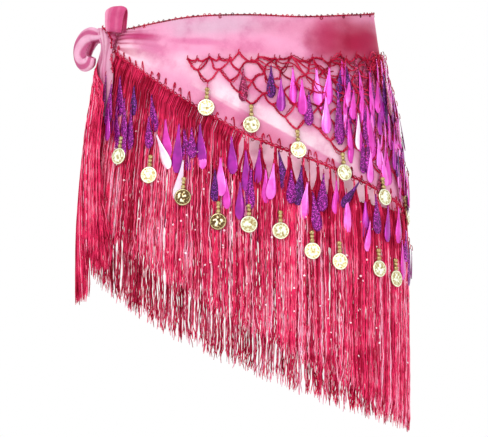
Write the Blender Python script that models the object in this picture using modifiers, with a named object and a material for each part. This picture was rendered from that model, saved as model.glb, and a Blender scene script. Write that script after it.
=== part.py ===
"""Belly dance hip scarf, tied round the hips of a general figure, as one loop of cloth.

The scarf is a long flat triangle of chiffon. Its long edge goes round the waist, its two ends are tied
at the left hip, and its point hangs at the right hip. Fringe and coins hang from its two short edges,
and a crocheted net with more coins lies over the point.

Metres, +Z up. The front of the figure faces -Y and its right-hand side, seen from the front, is +X.
The origin is the middle of the waist, where the wearer's hips hold the scarf up.

A place on the cloth is a side (FRONT or BACK) and a share: 0 at the knot, 1 at the scarf's point.
"""

import math
import random
from bisect import bisect_right
from collections import namedtuple

import bmesh
import bpy
from mathutils import Matrix, Vector

MM = 0.001
FRONT = 1
BACK = -1
SIDE_NAMES = {FRONT: "front", BACK: "back"}

# Driving dimensions
CLOTH = 1.2 * MM
SEAM_GAP = 0.3 * MM
FRINGE_THICKNESS = 1.6 * MM
LOCK_SHARE = 0.6
STRIP_HEIGHT = 3.2 * MM
STRIP_ANGLE = 1.4
WAIST_CORD = 0.9 * MM
HEM_CORD = 1.2 * MM
NET_THREAD = 1.4 * MM
NET_HALF_CELL = 12.5 * MM
NET_ROW = 13 * MM
NET_BELOW_WAIST = 47 * MM
NET_REACH = 23
COIN_RADIUS = 9.3 * MM
COIN_THICKNESS = 1.0 * MM
BEAD_RADIUS = 2.2 * MM
STRING_RADIUS = 0.6 * MM
KNOT_ANGLE = 20.0
POINT_ANGLE = 180.0

# Half-widths of the figure under the cloth, from below upwards
Section = namedtuple("Section", "height half_width front_depth back_depth")
FIGURE = (
    Section(-0.480, 0.182, 0.114, 0.131),
    Section(-0.300, 0.182, 0.114, 0.132),
    Section(-0.240, 0.181, 0.113, 0.132),
    Section(-0.190, 0.177, 0.112, 0.130),
    Section(-0.140, 0.171, 0.110, 0.125),
    Section(-0.090, 0.162, 0.107, 0.118),
    Section(-0.040, 0.153, 0.102, 0.108),
    Section(0.000, 0.147, 0.098, 0.100),
    Section(0.030, 0.143, 0.094, 0.094),
)

# Heights of the waist edge, the hem and the fringe's ends, from the knot to the point
Station = namedtuple("Station", "share waist hem fringe_end")
STATIONS = (
    Station(0.00, -0.0130, -0.0310, -0.222),
    Station(0.15, -0.0090, -0.0590, -0.254),
    Station(0.30, -0.0028, -0.0960, -0.300),
    Station(0.45, -0.0015, -0.1340, -0.345),
    Station(0.60, -0.0022, -0.1600, -0.386),
    Station(0.80, 0.0050, -0.1905, -0.429),
    Station(1.00, 0.0130, -0.2140, -0.447),
)

# Folds that run out from the knot. The drops are shares of the cloth's height, from the waist edge.
Fold = namedtuple("Fold", "side drop_at_knot drop_at_end reach lift width")
FOLDS = (
    Fold(FRONT, 0.24, 0.12, 0.48, 3.0 * MM, 0.13),
    Fold(FRONT, 0.52, 0.34, 0.62, 3.8 * MM, 0.14),
    Fold(FRONT, 0.80, 0.66, 0.36, 2.6 * MM, 0.12),
    Fold(BACK, 0.28, 0.16, 0.52, 3.4 * MM, 0.14),
    Fold(BACK, 0.60, 0.46, 0.44, 3.6 * MM, 0.15),
)
NECK_LIFT = 2.2 * MM
NECK_REACH = 0.12
KNOT_SEAM_SHARE = 0.0006
CORD_START_SHARE = 0.005

# The cut of each hanging end of the scarf, from its tip upwards. Angles are degrees round the figure.
TailRow = namedtuple("TailRow", "height near_angle near_lift far_angle far_lift")
TAILS = {
    FRONT: (
        TailRow(-0.108, 27.0, 5.6 * MM, 24.0, 6.4 * MM),
        TailRow(-0.090, 28.0, 5.6 * MM, 18.0, 8.6 * MM),
        TailRow(-0.066, 27.0, 6.0 * MM, 11.0, 12.0 * MM),
        TailRow(-0.050, 25.0, 7.5 * MM, 10.5, 12.5 * MM),
        TailRow(-0.0314, 22.5, 10.0 * MM, 16.0, 11.5 * MM),
    ),
    BACK: (
        TailRow(-0.122, -5.5, 5.6 * MM, -3.0, 6.4 * MM),
        TailRow(-0.102, -6.5, 5.6 * MM, 2.0, 8.0 * MM),
        TailRow(-0.076, -6.0, 6.2 * MM, 7.0, 10.0 * MM),
        TailRow(-0.052, -1.0, 7.6 * MM, 7.5, 11.0 * MM),
        TailRow(-0.0322, 8.7, 10.0 * MM, 15.2, 11.5 * MM),
    ),
}
# The fringe of each hanging end: its locks, where their ends spread to, and how low they reach
TailFringe = namedtuple("TailFringe", "locks near_angle far_angle lift end")
TAIL_FRINGES = {
    FRONT: TailFringe(8, 37.0, 25.0, 4.0 * MM, -0.272),
    BACK: TailFringe(8, -10.0, 21.5, 4.6 * MM, -0.304),
}

# The fringe's three lengths from the scarf's point, and the steps down its locks
FringePart = namedtuple("FringePart", "name locks levels")
FRINGE_PARTS = (
    FringePart("point", 26, 4),
    FringePart("middle", 26, 4),
    FringePart("knot", 26, 2),
)
# Away from the knot the locks start in threes, drawn together into chains
CHAIN_LOCKS = 3
CHAIN_LENGTH = 34 * MM
CHAIN_END_SHARE = 0.44
CHAIN_PINCH = 0.3

# Coins: places along the hem with their drops, and net points in half cells from the scarf's point
HemCoin = namedtuple("HemCoin", "share drop")
HEM_COINS = (
    HemCoin(0.115, 112 * MM),
    HemCoin(0.214, 112 * MM),
    HemCoin(0.302, 115 * MM),
    HemCoin(0.382, 121 * MM),
    HemCoin(0.448, 108 * MM),
    HemCoin(0.516, 102 * MM),
    HemCoin(0.587, 112 * MM),
    HemCoin(0.654, 112 * MM),
    HemCoin(0.772, 100 * MM),
    HemCoin(0.844, 100 * MM),
)
NetCoin = namedtuple("NetCoin", "column thread")
NET_COINS = (
    NetCoin(1, 14.5 * MM),
    NetCoin(5, 18.0 * MM),
    NetCoin(9, 14.5 * MM),
    NetCoin(13, 14.5 * MM),
    NetCoin(17, 14.5 * MM),
    NetCoin(21, 21.0 * MM),
)

# The bow: its frame at the knot, and the middle line of the loop that curls to the side
BOW_AZIMUTH = 40.0
KNOT_HEIGHT = -0.0200
KNOT_RADII = (12.0 * MM, 6.8 * MM, 11.5 * MM)
LoopStop = namedtuple("LoopStop", "across up radius")
LoopRow = namedtuple("LoopRow", ("number", *LoopStop._fields))
SIDE_LOOP = (
    LoopStop(-10.8 * MM, 3.0 * MM, 5.4 * MM),
    LoopStop(-20.5 * MM, 6.5 * MM, 7.8 * MM),
    LoopStop(-31.0 * MM, 3.0 * MM, 8.8 * MM),
    LoopStop(-39.0 * MM, -6.5 * MM, 9.0 * MM),
    LoopStop(-41.0 * MM, -18.0 * MM, 8.2 * MM),
    LoopStop(-37.0 * MM, -27.0 * MM, 7.0 * MM),
    LoopStop(-29.0 * MM, -28.0 * MM, 6.0 * MM),
    LoopStop(-25.5 * MM, -20.5 * MM, 4.6 * MM),
)

Finish = namedtuple("Finish", "colour roughness metallic")
FINISHES = {
    "chiffon": Finish((0.86, 0.36, 0.56), 0.75, 0.0),
    "crochet_thread": Finish((0.62, 0.03, 0.12), 0.8, 0.0),
    "fringe_thread": Finish((0.76, 0.04, 0.17), 0.55, 0.0),
    "gold_coin": Finish((0.86, 0.78, 0.45), 0.3, 1.0),
}


def blend_rows(rows, column, at):
    """The value of a column at a place along the rows' first column, on a smooth curve through them."""
    keys = [row[0] for row in rows]
    values = [getattr(row, column) for row in rows]
    i = min(max(bisect_right(keys, at) - 1, 0), len(rows) - 2)
    span = keys[i + 1] - keys[i]
    t = min(max((at - keys[i]) / span, 0.0), 1.0)

    def slope(j):
        low, high = max(j - 1, 0), min(j + 1, len(rows) - 1)
        return (values[high] - values[low]) / (keys[high] - keys[low])

    start = (1 + 2 * t) * (1 - t) ** 2 * values[i] + t * (1 - t) ** 2 * span * slope(i)
    end = t * t * (3 - 2 * t) * values[i + 1] + t * t * (t - 1) * span * slope(i + 1)
    return start + end


def ease(t):
    """Rises smoothly from 0 to 1 as t does."""
    t = min(max(t, 0.0), 1.0)
    return t * t * (3 - 2 * t)


def figure_base(angle, height):
    """A point on the figure. Angle 0 is the left hip in the picture, 90 the front, 180 the right hip."""
    turn = math.radians(angle)
    depth = "front_depth" if math.sin(turn) > 0 else "back_depth"
    return Vector(
        (
            -blend_rows(FIGURE, "half_width", height) * math.cos(turn),
            -blend_rows(FIGURE, depth, height) * math.sin(turn),
            height,
        )
    )


def figure_normal(angle, height):
    """The outward direction at a point on the figure."""
    step_angle, step_height = 0.5, 1 * MM
    along = figure_base(angle + step_angle, height) - figure_base(angle - step_angle, height)
    up = figure_base(angle, height + step_height) - figure_base(angle, height - step_height)
    return along.cross(up).normalized()


def figure_point(angle, height, lift):
    return figure_base(angle, height) + lift * figure_normal(angle, height)


def angle_at(side, share):
    if side == FRONT:
        return KNOT_ANGLE + share * (POINT_ANGLE - KNOT_ANGLE)
    return KNOT_ANGLE - share * (POINT_ANGLE + KNOT_ANGLE)


def neck_lift(share):
    """How far the cloth stands off the figure where it is drawn into the knot."""
    return NECK_LIFT * (1 - ease(share / NECK_REACH))


def fold_lift(side, share, drop):
    total = 0.0
    for fold in FOLDS:
        if fold.side != side or share >= fold.reach:
            continue
        run = share / fold.reach
        middle = fold.drop_at_knot + run * (fold.drop_at_end - fold.drop_at_knot)
        ridge = math.exp(-0.5 * ((drop - middle) / fold.width) ** 2)
        total += fold.lift * (1 - ease(run)) * ease(run * 6) * ridge
    return total


def cloth_point(side, share, height, lift):
    """A point on the cloth's middle surface at a height, moved out by lift."""
    waist = blend_rows(STATIONS, "waist", share)
    hem = blend_rows(STATIONS, "hem", share)
    drop = (waist - height) / (waist - hem)
    total = lift + neck_lift(share) + fold_lift(side, share, drop)
    return figure_point(angle_at(side, share), height, total)


def distances(side, height, steps=400):
    """Shares from the point to the knot, with the distance round the figure to each."""
    shares = [1 - i / steps for i in range(steps + 1)]
    points = [figure_base(angle_at(side, share), height) for share in shares]
    lengths = [0.0]
    for before, after in zip(points, points[1:]):
        lengths.append(lengths[-1] + (after - before).length)
    return shares, lengths


REFERENCE_HEIGHT = -0.13
RULERS = {side: distances(side, REFERENCE_HEIGHT) for side in (FRONT, BACK)}


def share_at(side, distance):
    """The share of the place that lies this far from the scarf's point, round the figure."""
    shares, lengths = RULERS[side]
    i = min(max(bisect_right(lengths, distance) - 1, 0), len(lengths) - 2)
    t = (distance - lengths[i]) / (lengths[i + 1] - lengths[i])
    return shares[i] + t * (shares[i + 1] - shares[i])


def hem_height(side, share, below):
    """The height of a line that runs a distance below the hem, measured square to it."""
    step = 0.01
    low, high = max(share - step, 0.0), min(share + step, 1.0)
    rise = blend_rows(STATIONS, "hem", high) - blend_rows(STATIONS, "hem", low)
    hem = blend_rows(STATIONS, "hem", share)
    run = (figure_base(angle_at(side, high), hem) - figure_base(angle_at(side, low), hem)).length
    return hem - below * math.hypot(rise, run) / run


def clear_scene():
    for obj in list(bpy.data.objects):
        bpy.data.objects.remove(obj)


def new_collection(name):
    collection = bpy.data.collections.new(name)
    bpy.context.scene.collection.children.link(collection)
    return collection


def new_material(name):
    finish = FINISHES[name]
    material = bpy.data.materials.new(name)
    material.use_nodes = True
    shader = material.node_tree.nodes["Principled BSDF"]
    shader.inputs["Base Color"].default_value = (*finish.colour, 1.0)
    shader.inputs["Roughness"].default_value = finish.roughness
    shader.inputs["Metallic"].default_value = finish.metallic
    material.diffuse_color = (*finish.colour, 1.0)
    return material


def add_object(name, data, material, collection):
    if not data.materials:
        data.materials.append(material)
    obj = bpy.data.objects.new(name, data)
    collection.objects.link(obj)
    return obj


def add_wall(name, bm, thickness, material, collection):
    """An open surface, given a thickness about its middle."""
    mesh = bpy.data.meshes.new(name)
    bm.to_mesh(mesh)
    bm.free()
    mesh.shade_smooth()
    obj = add_object(name, mesh, material, collection)
    wall = obj.modifiers.new("wall", "SOLIDIFY")
    wall.thickness = thickness
    wall.offset = 0.0
    return obj


def unit_grid(columns, rows):
    """A grid of unit size from the origin, as a bmesh."""
    bm = bmesh.new()
    bmesh.ops.create_grid(bm, x_segments=columns, y_segments=rows, size=0.5)
    bmesh.ops.translate(bm, verts=bm.verts, vec=(0.5, 0.5, 0.0))
    return bm


def add_cord(name, points, radius, material, collection):
    """A round cord through the points."""
    curve = bpy.data.curves.new(name, "CURVE")
    curve.dimensions = "3D"
    curve.bevel_depth = radius
    curve.bevel_resolution = 1
    curve.use_fill_caps = True
    spline = curve.splines.new("POLY")
    spline.points.add(len(points) - 1)
    for slot, point in zip(spline.points, points):
        slot.co = (*point, 1.0)
    return add_object(name, curve, material, collection)


def end_share(side):
    """The share where each half stops, half a seam gap short of the scarf's point."""
    return share_at(side, SEAM_GAP / 2)


def add_wrap(side, material, collection):
    """The stretch of cloth over one half of the figure."""
    columns, rows = 25, 10
    bm = unit_grid(columns, rows)
    first, last = KNOT_SEAM_SHARE, end_share(side)
    for vert in bm.verts:
        share = first + vert.co.x * (last - first)
        waist = blend_rows(STATIONS, "waist", share)
        hem = blend_rows(STATIONS, "hem", share)
        height = waist + vert.co.y * (hem - waist)
        vert.co = cloth_point(side, share, height, 0.0)
    return add_wall(f"wrap_{SIDE_NAMES[side]}", bm, CLOTH, material, collection)


def add_waist_edging(side, material, collection):
    """The crocheted cord along the waist edge."""
    count = 22
    rise = SEAM_GAP + WAIST_CORD
    first, last = CORD_START_SHARE, share_at(side, SEAM_GAP)
    points = []
    for i in range(count):
        share = first + i / (count - 1) * (last - first)
        waist = blend_rows(STATIONS, "waist", share)
        points.append(cloth_point(side, share, waist, 0.0) + Vector((0, 0, rise)))
    return add_cord(f"waist_edging_{SIDE_NAMES[side]}", points, WAIST_CORD, material, collection)


def add_hem_edging(side, material, collection):
    """The crocheted cord along the hem, which carries the fringe."""
    count = 26
    below = SEAM_GAP + HEM_CORD
    first, last = CORD_START_SHARE, share_at(side, HEM_CORD)
    points = []
    for i in range(count):
        share = first + i / (count - 1) * (last - first)
        height = hem_height(side, share, below)
        points.append(cloth_point(side, share, height, 0.0))
    return add_cord(f"hem_edging_{SIDE_NAMES[side]}", points, HEM_CORD, material, collection)


def comb_edges(locks):
    """Where each lock starts and ends along a strip of unit length, with its middle."""
    pitch = 1 / (locks - 1 + LOCK_SHARE)
    edges = []
    for i in range(locks):
        start = i * pitch
        middle = start + LOCK_SHARE * pitch / 2
        edges += [(start, middle), (start + LOCK_SHARE * pitch, middle)]
    return edges


def add_comb(name, locks, levels, place, material, collection):
    """Fringe: locks that hang from a narrow strip, and taper to their ends.

    place(along, level, lock) gives a point. Level 0 is the strip's top edge, 1 its bottom edge, and
    the last one the locks' ends."""
    columns = 2 * locks - 1
    bm = unit_grid(columns, levels)
    strip_bottom = 1 / levels
    gaps = []
    for face in bm.faces:
        middle = face.calc_center_median()
        if int(middle.x * columns) % 2 and middle.y > strip_bottom:
            gaps.append(face)
    bmesh.ops.delete(bm, geom=gaps, context="FACES")
    edges = comb_edges(locks)
    for vert in bm.verts:
        column = round(vert.co.x * columns)
        level = round(vert.co.y * levels)
        edge, middle = edges[column]
        taper = 1.0 if level < 2 else 1.0 - 0.45 * (level - 1) / (levels - 1)
        vert.co = place(middle + taper * (edge - middle), level, column // 2)
    return add_wall(name, bm, FRINGE_THICKNESS, material, collection)


def lock_heights(side, share, levels, end):
    """The heights of a lock's levels: the strip's two edges, the chain if it has one, and its end."""
    strip_top = 2 * (SEAM_GAP + HEM_CORD) + SEAM_GAP / 2
    top = hem_height(side, share, strip_top)
    bottom = hem_height(side, share, strip_top + STRIP_HEIGHT)
    if levels == 2:
        return top, bottom, end
    chain_end = bottom - CHAIN_LENGTH
    return top, bottom, chain_end, chain_end - CHAIN_LENGTH / 2, end


def add_hem_fringe(side, material, collection):
    """The fringe below the hem of one half, in lengths of strip."""
    uneven = random.Random(7 + side)
    margin = 1.0 * MM
    total = RULERS[side][1][-1] - 2 * margin
    pitch = total / sum(part.locks for part in FRINGE_PARTS)
    start = margin
    for part in FRINGE_PARTS:
        length = (part.locks - 1 + LOCK_SHARE) * pitch
        jitter = [uneven.uniform(-5, 5) * MM for _ in range(part.locks)]

        def place(along, level, lock, part=part, start=start, length=length, jitter=jitter):
            distance = start + along * length
            group = lock // CHAIN_LOCKS * CHAIN_LOCKS + (CHAIN_LOCKS - 1 + LOCK_SHARE) / 2
            chain = start + min(group * pitch, length)
            if share_at(side, chain) > CHAIN_END_SHARE and level in (1, 2) and part.levels > 2:
                distance = chain + CHAIN_PINCH * (distance - chain)
            share = share_at(side, distance)
            end = blend_rows(STATIONS, "fringe_end", share) + jitter[lock]
            height = lock_heights(side, share, part.levels, end)[level]
            lift = neck_lift(share) if level < 2 else 0.0
            return figure_point(angle_at(side, share), height, lift)

        name = f"fringe_{SIDE_NAMES[side]}_{part.name}"
        add_comb(name, part.locks, part.levels, place, material, collection)
        start += part.locks * pitch


def tail_point(side, across, height):
    """A point on a hanging end. Across runs from its near edge, by the figure's middle, to its far edge."""
    rows = TAILS[side]
    near_angle = blend_rows(rows, "near_angle", height)
    far_angle = blend_rows(rows, "far_angle", height)
    near_lift = blend_rows(rows, "near_lift", height)
    far_lift = blend_rows(rows, "far_lift", height)
    ripple = 1.2 * MM * math.sin(across * 2 * math.pi)
    angle = near_angle + across * (far_angle - near_angle)
    lift = near_lift + across * (far_lift - near_lift) + ripple
    return figure_point(angle, height, lift)


def add_tail(side, material, collection):
    """One hanging end of the scarf, a narrow corner of the triangle."""
    rows = TAILS[side]
    low, high = rows[0].height, rows[-1].height
    bm = unit_grid(6, 8)
    for vert in bm.verts:
        vert.co = tail_point(side, vert.co.x, low + vert.co.y * (high - low))
    return add_wall(f"tail_{SIDE_NAMES[side]}", bm, CLOTH, material, collection)


def add_tail_fringe(side, material, collection):
    """The fringe along the slanted edge of a hanging end."""
    facts = TAIL_FRINGES[side]
    widest, tip = TAILS[side][2].height, TAILS[side][0].height
    levels = 4
    uneven = random.Random(23 + side)
    jitter = [uneven.uniform(-4, 4) * MM for _ in range(facts.locks)]
    gap = SEAM_GAP + 0.4 * MM

    def place(along, level, lock):
        root = widest + along * (tip - widest)
        edge = tail_point(side, 1.0, root)
        out = (edge - tail_point(side, 0.8, root)).normalized() + Vector((0, 0, -0.6))
        if level < 2:
            return edge + (gap + level * STRIP_HEIGHT) * out
        run = (level - 1) / (levels - 1)
        start_height = edge.z + (gap + STRIP_HEIGHT) * out.z
        start_angle = blend_rows(TAILS[side], "far_angle", root) - side * STRIP_ANGLE
        start_lift = blend_rows(TAILS[side], "far_lift", root)
        end_angle = facts.far_angle + along * (facts.near_angle - facts.far_angle)
        height = start_height + run * (facts.end + jitter[lock] - start_height)
        angle = start_angle + ease(run) * (end_angle - start_angle)
        return figure_point(angle, height, start_lift + ease(run) * (facts.lift - start_lift))

    name = f"fringe_tail_{SIDE_NAMES[side]}"
    return add_comb(name, facts.locks, levels, place, material, collection)


def knot_middle():
    """The knot's middle. Its inner side stands a seam gap off the cloth that runs under it."""
    lift = NECK_LIFT + CLOTH / 2 + SEAM_GAP + KNOT_RADII[1]
    return figure_point(KNOT_ANGLE, KNOT_HEIGHT, lift)


def bow_point(across, up, outward):
    """A point in the bow's frame: its face is turned between the figure's side and front."""
    turn = math.radians(BOW_AZIMUTH)
    right = Vector((math.cos(turn), -math.sin(turn), 0))
    out = Vector((-math.sin(turn), -math.cos(turn), 0))
    return knot_middle() + across * right + outward * out + Vector((0, 0, up))


def add_knot(material, collection):
    """The knot: a rounded lump with the turns of cloth running across it as slanting ridges."""
    bm = bmesh.new()
    bmesh.ops.create_uvsphere(bm, u_segments=14, v_segments=9, radius=1.0)
    for vert in bm.verts:
        slant = vert.co.z + 0.6 * vert.co.x
        ridge = 1.0 - 0.07 * (0.5 + 0.5 * math.cos(slant * 3 * math.pi))
        vert.co = Vector(a * b for a, b in zip(vert.co * ridge, KNOT_RADII))
    mesh = bpy.data.meshes.new("knot")
    bm.to_mesh(mesh)
    bm.free()
    mesh.shade_smooth()
    obj = add_object("knot", mesh, material, collection)
    outward = figure_normal(KNOT_ANGLE, KNOT_HEIGHT)
    obj.matrix_world = local_frame(knot_middle(), outward, Vector((0, 0, 1)))
    return obj


def local_frame(origin, outward, up):
    """A matrix whose -Y axis points outward and whose Z axis is as near as it can be to up."""
    z_axis = (up - up.dot(outward) * outward).normalized()
    y_axis = -outward
    x_axis = y_axis.cross(z_axis)
    turn = Matrix((x_axis, y_axis, z_axis)).transposed().to_4x4()
    return Matrix.Translation(origin) @ turn


def add_upper_loop(material, collection):
    """The short bow loop that stands up from the knot: cloth that goes up, over and down again."""
    bottom, top = 11.9 * MM, 34.0 * MM
    slope = 4.4 * MM
    neck_left, neck_right = -0.5 * MM, 24.0 * MM
    left, right = -3.5 * MM, 28.0 * MM
    half_depth, puff = 3.4 * MM, 2.6 * MM
    bm = unit_grid(6, 12)
    for vert in bm.verts:
        turn = vert.co.y * math.pi
        rise = max(math.sin(turn), 0.0) ** 0.7
        corner = 1.6 * MM * (2 * vert.co.x - 1) ** 2 * rise
        low = neck_left + rise * (left - neck_left)
        high = neck_right + rise * (right - neck_right)
        across = low + vert.co.x * (high - low)
        depth = (half_depth + puff * math.sin(vert.co.x * math.pi)) * math.cos(turn)
        foot = bottom - slope * ease((vert.co.x - 0.35) / 0.65)
        vert.co = bow_point(across, foot + rise * (top - foot) - corner, 2.5 * MM + depth)
    return add_wall("bow_loop_upper", bm, CLOTH, material, collection)


def add_side_loop(material, collection):
    """The bow loop that curls out to the side and down: a puffed band, open along its inner side."""
    steps = 2
    columns = steps * (len(SIDE_LOOP) - 1)
    rows = [(i, *stop) for i, stop in enumerate(SIDE_LOOP)]
    path = [LoopRow(*row) for row in rows]
    edge = math.radians(142)
    outward = 2.0 * MM
    flatness = 0.8
    bm = unit_grid(columns, 8)
    for vert in bm.verts:
        at = vert.co.x * (len(SIDE_LOOP) - 1)
        across, up, radius = (blend_rows(path, name, at) for name in LoopStop._fields)
        step = 0.05
        along = blend_rows(path, "across", at + step) - blend_rows(path, "across", at - step)
        climb = blend_rows(path, "up", at + step) - blend_rows(path, "up", at - step)
        size = math.hypot(along, climb)
        lean = edge * (2 * vert.co.y - 1)
        reach = radius * math.cos(lean)
        across += reach * climb / size
        up -= reach * along / size
        vert.co = bow_point(across, up, outward + flatness * radius * math.sin(lean))
    return add_wall("bow_loop_side", bm, CLOTH, material, collection)


def net_height(share, row):
    return blend_rows(STATIONS, "waist", share) - NET_BELOW_WAIST - row * NET_ROW


def lowest_row(column):
    """The lowest row of the net with a gap centred on this column."""
    row = (NET_REACH - column) // 2
    return row if (column + row) % 2 == 0 else row - 1


def add_net(side, material, collection):
    """The crocheted net over the cloth: diamond gaps between threads, in a triangle."""
    start = NET_THREAD / 2 + SEAM_GAP
    lift = CLOTH / 2 + SEAM_GAP + NET_THREAD / 2
    bm = bmesh.new()
    points = {}

    def point(column, row):
        if (column, row) not in points:
            share = share_at(side, start + column * NET_HALF_CELL)
            place = cloth_point(side, share, net_height(share, row), lift)
            points[column, row] = bm.verts.new(place)
        return points[column, row]

    for column in range(NET_REACH):
        for row in range(column % 2, lowest_row(column) + 1, 2):
            corners = [(column, row + 1), (column + 1, row), (column, row - 1), (column - 1, row)]
            kept = dict.fromkeys((max(c, 0), max(r, 0)) for c, r in corners)
            bm.faces.new([point(*corner) for corner in kept])
    bm.normal_update()
    mesh = bpy.data.meshes.new(f"net_{SIDE_NAMES[side]}")
    bm.to_mesh(mesh)
    bm.free()
    obj = add_object(f"net_{SIDE_NAMES[side]}", mesh, material, collection)
    threads = obj.modifiers.new("threads", "WIREFRAME")
    threads.thickness = NET_THREAD
    threads.offset = 0.0
    threads.use_boundary = True
    threads.use_even_offset = False
    threads.use_replace = True
    return obj


def string_profile(length):
    """Radius and drop down a thread with beads at its end, which runs on inside the coin's rim."""
    into_coin = 1.5 * MM
    beads_top = length - 11 * MM
    return (
        (0.0, 0.0),
        (STRING_RADIUS, 0.0),
        (STRING_RADIUS, beads_top),
        (BEAD_RADIUS, beads_top + 2 * MM),
        (BEAD_RADIUS, beads_top + 8 * MM),
        (STRING_RADIUS, beads_top + 10 * MM),
        (STRING_RADIUS, length + into_coin),
        (0.0, length + into_coin),
    )


def coin_mesh(name, length, collection):
    """A coin that hangs below the origin on a thread of a length, as one closed mesh."""
    thread = bpy.data.meshes.new(f"{name}_thread")
    profile = [(radius, 0.0, -drop) for radius, drop in string_profile(length)]
    thread.from_pydata(profile, [(i, i + 1) for i in range(len(profile) - 1)], [])
    thread_obj = bpy.data.objects.new(f"{name}_thread", thread)
    collection.objects.link(thread_obj)
    screw = thread_obj.modifiers.new("turn", "SCREW")
    screw.steps = screw.render_steps = 4
    screw.use_merge_vertices = True
    screw.merge_threshold = 0.00001
    bm = bmesh.new()
    bmesh.ops.create_cone(
        bm,
        cap_ends=True,
        segments=10,
        radius1=COIN_RADIUS,
        radius2=COIN_RADIUS,
        depth=COIN_THICKNESS,
        matrix=Matrix.Translation((0, 0, -length - COIN_RADIUS))
        @ Matrix.Rotation(math.pi / 2, 4, "X"),
    )
    disc = bpy.data.meshes.new(f"{name}_disc")
    bm.to_mesh(disc)
    bm.free()
    disc_obj = bpy.data.objects.new(f"{name}_disc", disc)
    collection.objects.link(disc_obj)
    join = disc_obj.modifiers.new("join", "BOOLEAN")
    join.operation = "UNION"
    join.object = thread_obj
    bpy.context.view_layer.update()
    graph = bpy.context.evaluated_depsgraph_get()
    mesh = bpy.data.meshes.new_from_object(disc_obj.evaluated_get(graph))
    mesh.name = name
    for helper in (thread_obj, disc_obj):
        bpy.data.objects.remove(helper)
    return mesh


def hang_coin(name, mesh, side, share, start, end, material, collection):
    """A coin that hangs on the line between two places outside the cloth."""
    outward = figure_normal(angle_at(side, share), (start.z + end.z) / 2)
    up = (start - end).normalized()
    outward = (outward - outward.dot(up) * up).normalized()
    obj = add_object(name, mesh, material, collection)
    obj.matrix_world = local_frame(start, outward, up)
    return obj


def add_net_coins(side, material, collection):
    """Coins on short threads along the net's lower edge."""
    start = NET_THREAD / 2 + SEAM_GAP
    lift = CLOTH / 2 + 2 * SEAM_GAP + NET_THREAD + STRING_RADIUS
    for number, coin in enumerate(NET_COINS, 1):
        share = share_at(side, start + coin.column * NET_HALF_CELL)
        top = net_height(share, lowest_row(coin.column) + 1) + 0.5 * MM
        name = f"net_coin_{SIDE_NAMES[side]}_{number:02d}"
        mesh = coin_mesh(name, coin.thread, collection)
        foot = cloth_point(side, share, top - coin.thread - 2 * COIN_RADIUS, lift + 2 * MM)
        head = cloth_point(side, share, top, lift)
        hang_coin(name, mesh, side, share, head, foot, material, collection)


def add_hem_coins(side, material, collection):
    """Coins on long threads from the hem, in front of the fringe."""
    lift = HEM_CORD + SEAM_GAP + STRING_RADIUS
    coins = HEM_COINS if side == FRONT else HEM_COINS[1:]
    for number, coin in enumerate(coins, 1):
        name = f"hem_coin_{SIDE_NAMES[side]}_{number:02d}"
        mesh = coin_mesh(name, coin.drop - 2 * COIN_RADIUS, collection)
        top = hem_height(side, coin.share, SEAM_GAP + HEM_CORD / 2)
        head = cloth_point(side, coin.share, top, lift)
        foot = figure_point(angle_at(side, coin.share), top - coin.drop, lift + 2.8 * MM)
        hang_coin(name, mesh, side, coin.share, head, foot, material, collection)


def build():
    clear_scene()
    scarf = new_collection("hip_scarf")
    chiffon = new_material("chiffon")
    crochet = new_material("crochet_thread")
    fringe = new_material("fringe_thread")
    gold = new_material("gold_coin")
    for side in (FRONT, BACK):
        add_wrap(side, chiffon, scarf)
        add_waist_edging(side, crochet, scarf)
        add_hem_edging(side, crochet, scarf)
        add_hem_fringe(side, fringe, scarf)
        add_net(side, crochet, scarf)
        add_net_coins(side, gold, scarf)
        add_hem_coins(side, gold, scarf)
        add_tail(side, chiffon, scarf)
        add_tail_fringe(side, fringe, scarf)
    add_knot(chiffon, scarf)
    add_upper_loop(chiffon, scarf)
    add_side_loop(chiffon, scarf)


build()
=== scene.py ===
"""The look of the hip scarf: dyed chiffon, crochet, spangles, coins and fine fringe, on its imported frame.

A place on the cloth is a side (FRONT or BACK) and a share: 0 at the knot, 1 at the scarf's point.
A distance is measured round the figure from the scarf's point, towards the knot.
Metres, as in the frame: +Z up, the wearer's front faces -Y, the knot is at -X and the point at +X.
"""

import math
import random
from bisect import bisect_right
from collections import namedtuple

import bpy
import numpy as np
from mathutils import Matrix, Vector, noise

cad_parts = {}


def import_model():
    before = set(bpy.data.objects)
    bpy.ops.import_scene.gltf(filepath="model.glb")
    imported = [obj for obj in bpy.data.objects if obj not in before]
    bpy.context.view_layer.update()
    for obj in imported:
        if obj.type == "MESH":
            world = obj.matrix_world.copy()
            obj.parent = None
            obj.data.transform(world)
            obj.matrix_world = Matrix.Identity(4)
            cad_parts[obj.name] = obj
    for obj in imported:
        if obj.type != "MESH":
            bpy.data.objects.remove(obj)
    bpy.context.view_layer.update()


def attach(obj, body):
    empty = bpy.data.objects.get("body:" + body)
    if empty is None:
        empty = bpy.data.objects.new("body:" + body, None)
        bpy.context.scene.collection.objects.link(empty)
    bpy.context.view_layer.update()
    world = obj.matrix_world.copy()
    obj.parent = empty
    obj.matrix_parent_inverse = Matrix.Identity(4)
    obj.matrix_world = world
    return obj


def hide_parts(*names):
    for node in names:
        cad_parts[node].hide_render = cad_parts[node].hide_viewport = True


MM = 0.001
FRONT = 1
BACK = -1
SIDES = (FRONT, BACK)
SIDE_NAMES = {FRONT: "front", BACK: "back"}
UP = Vector((0, 0, 1))

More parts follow.
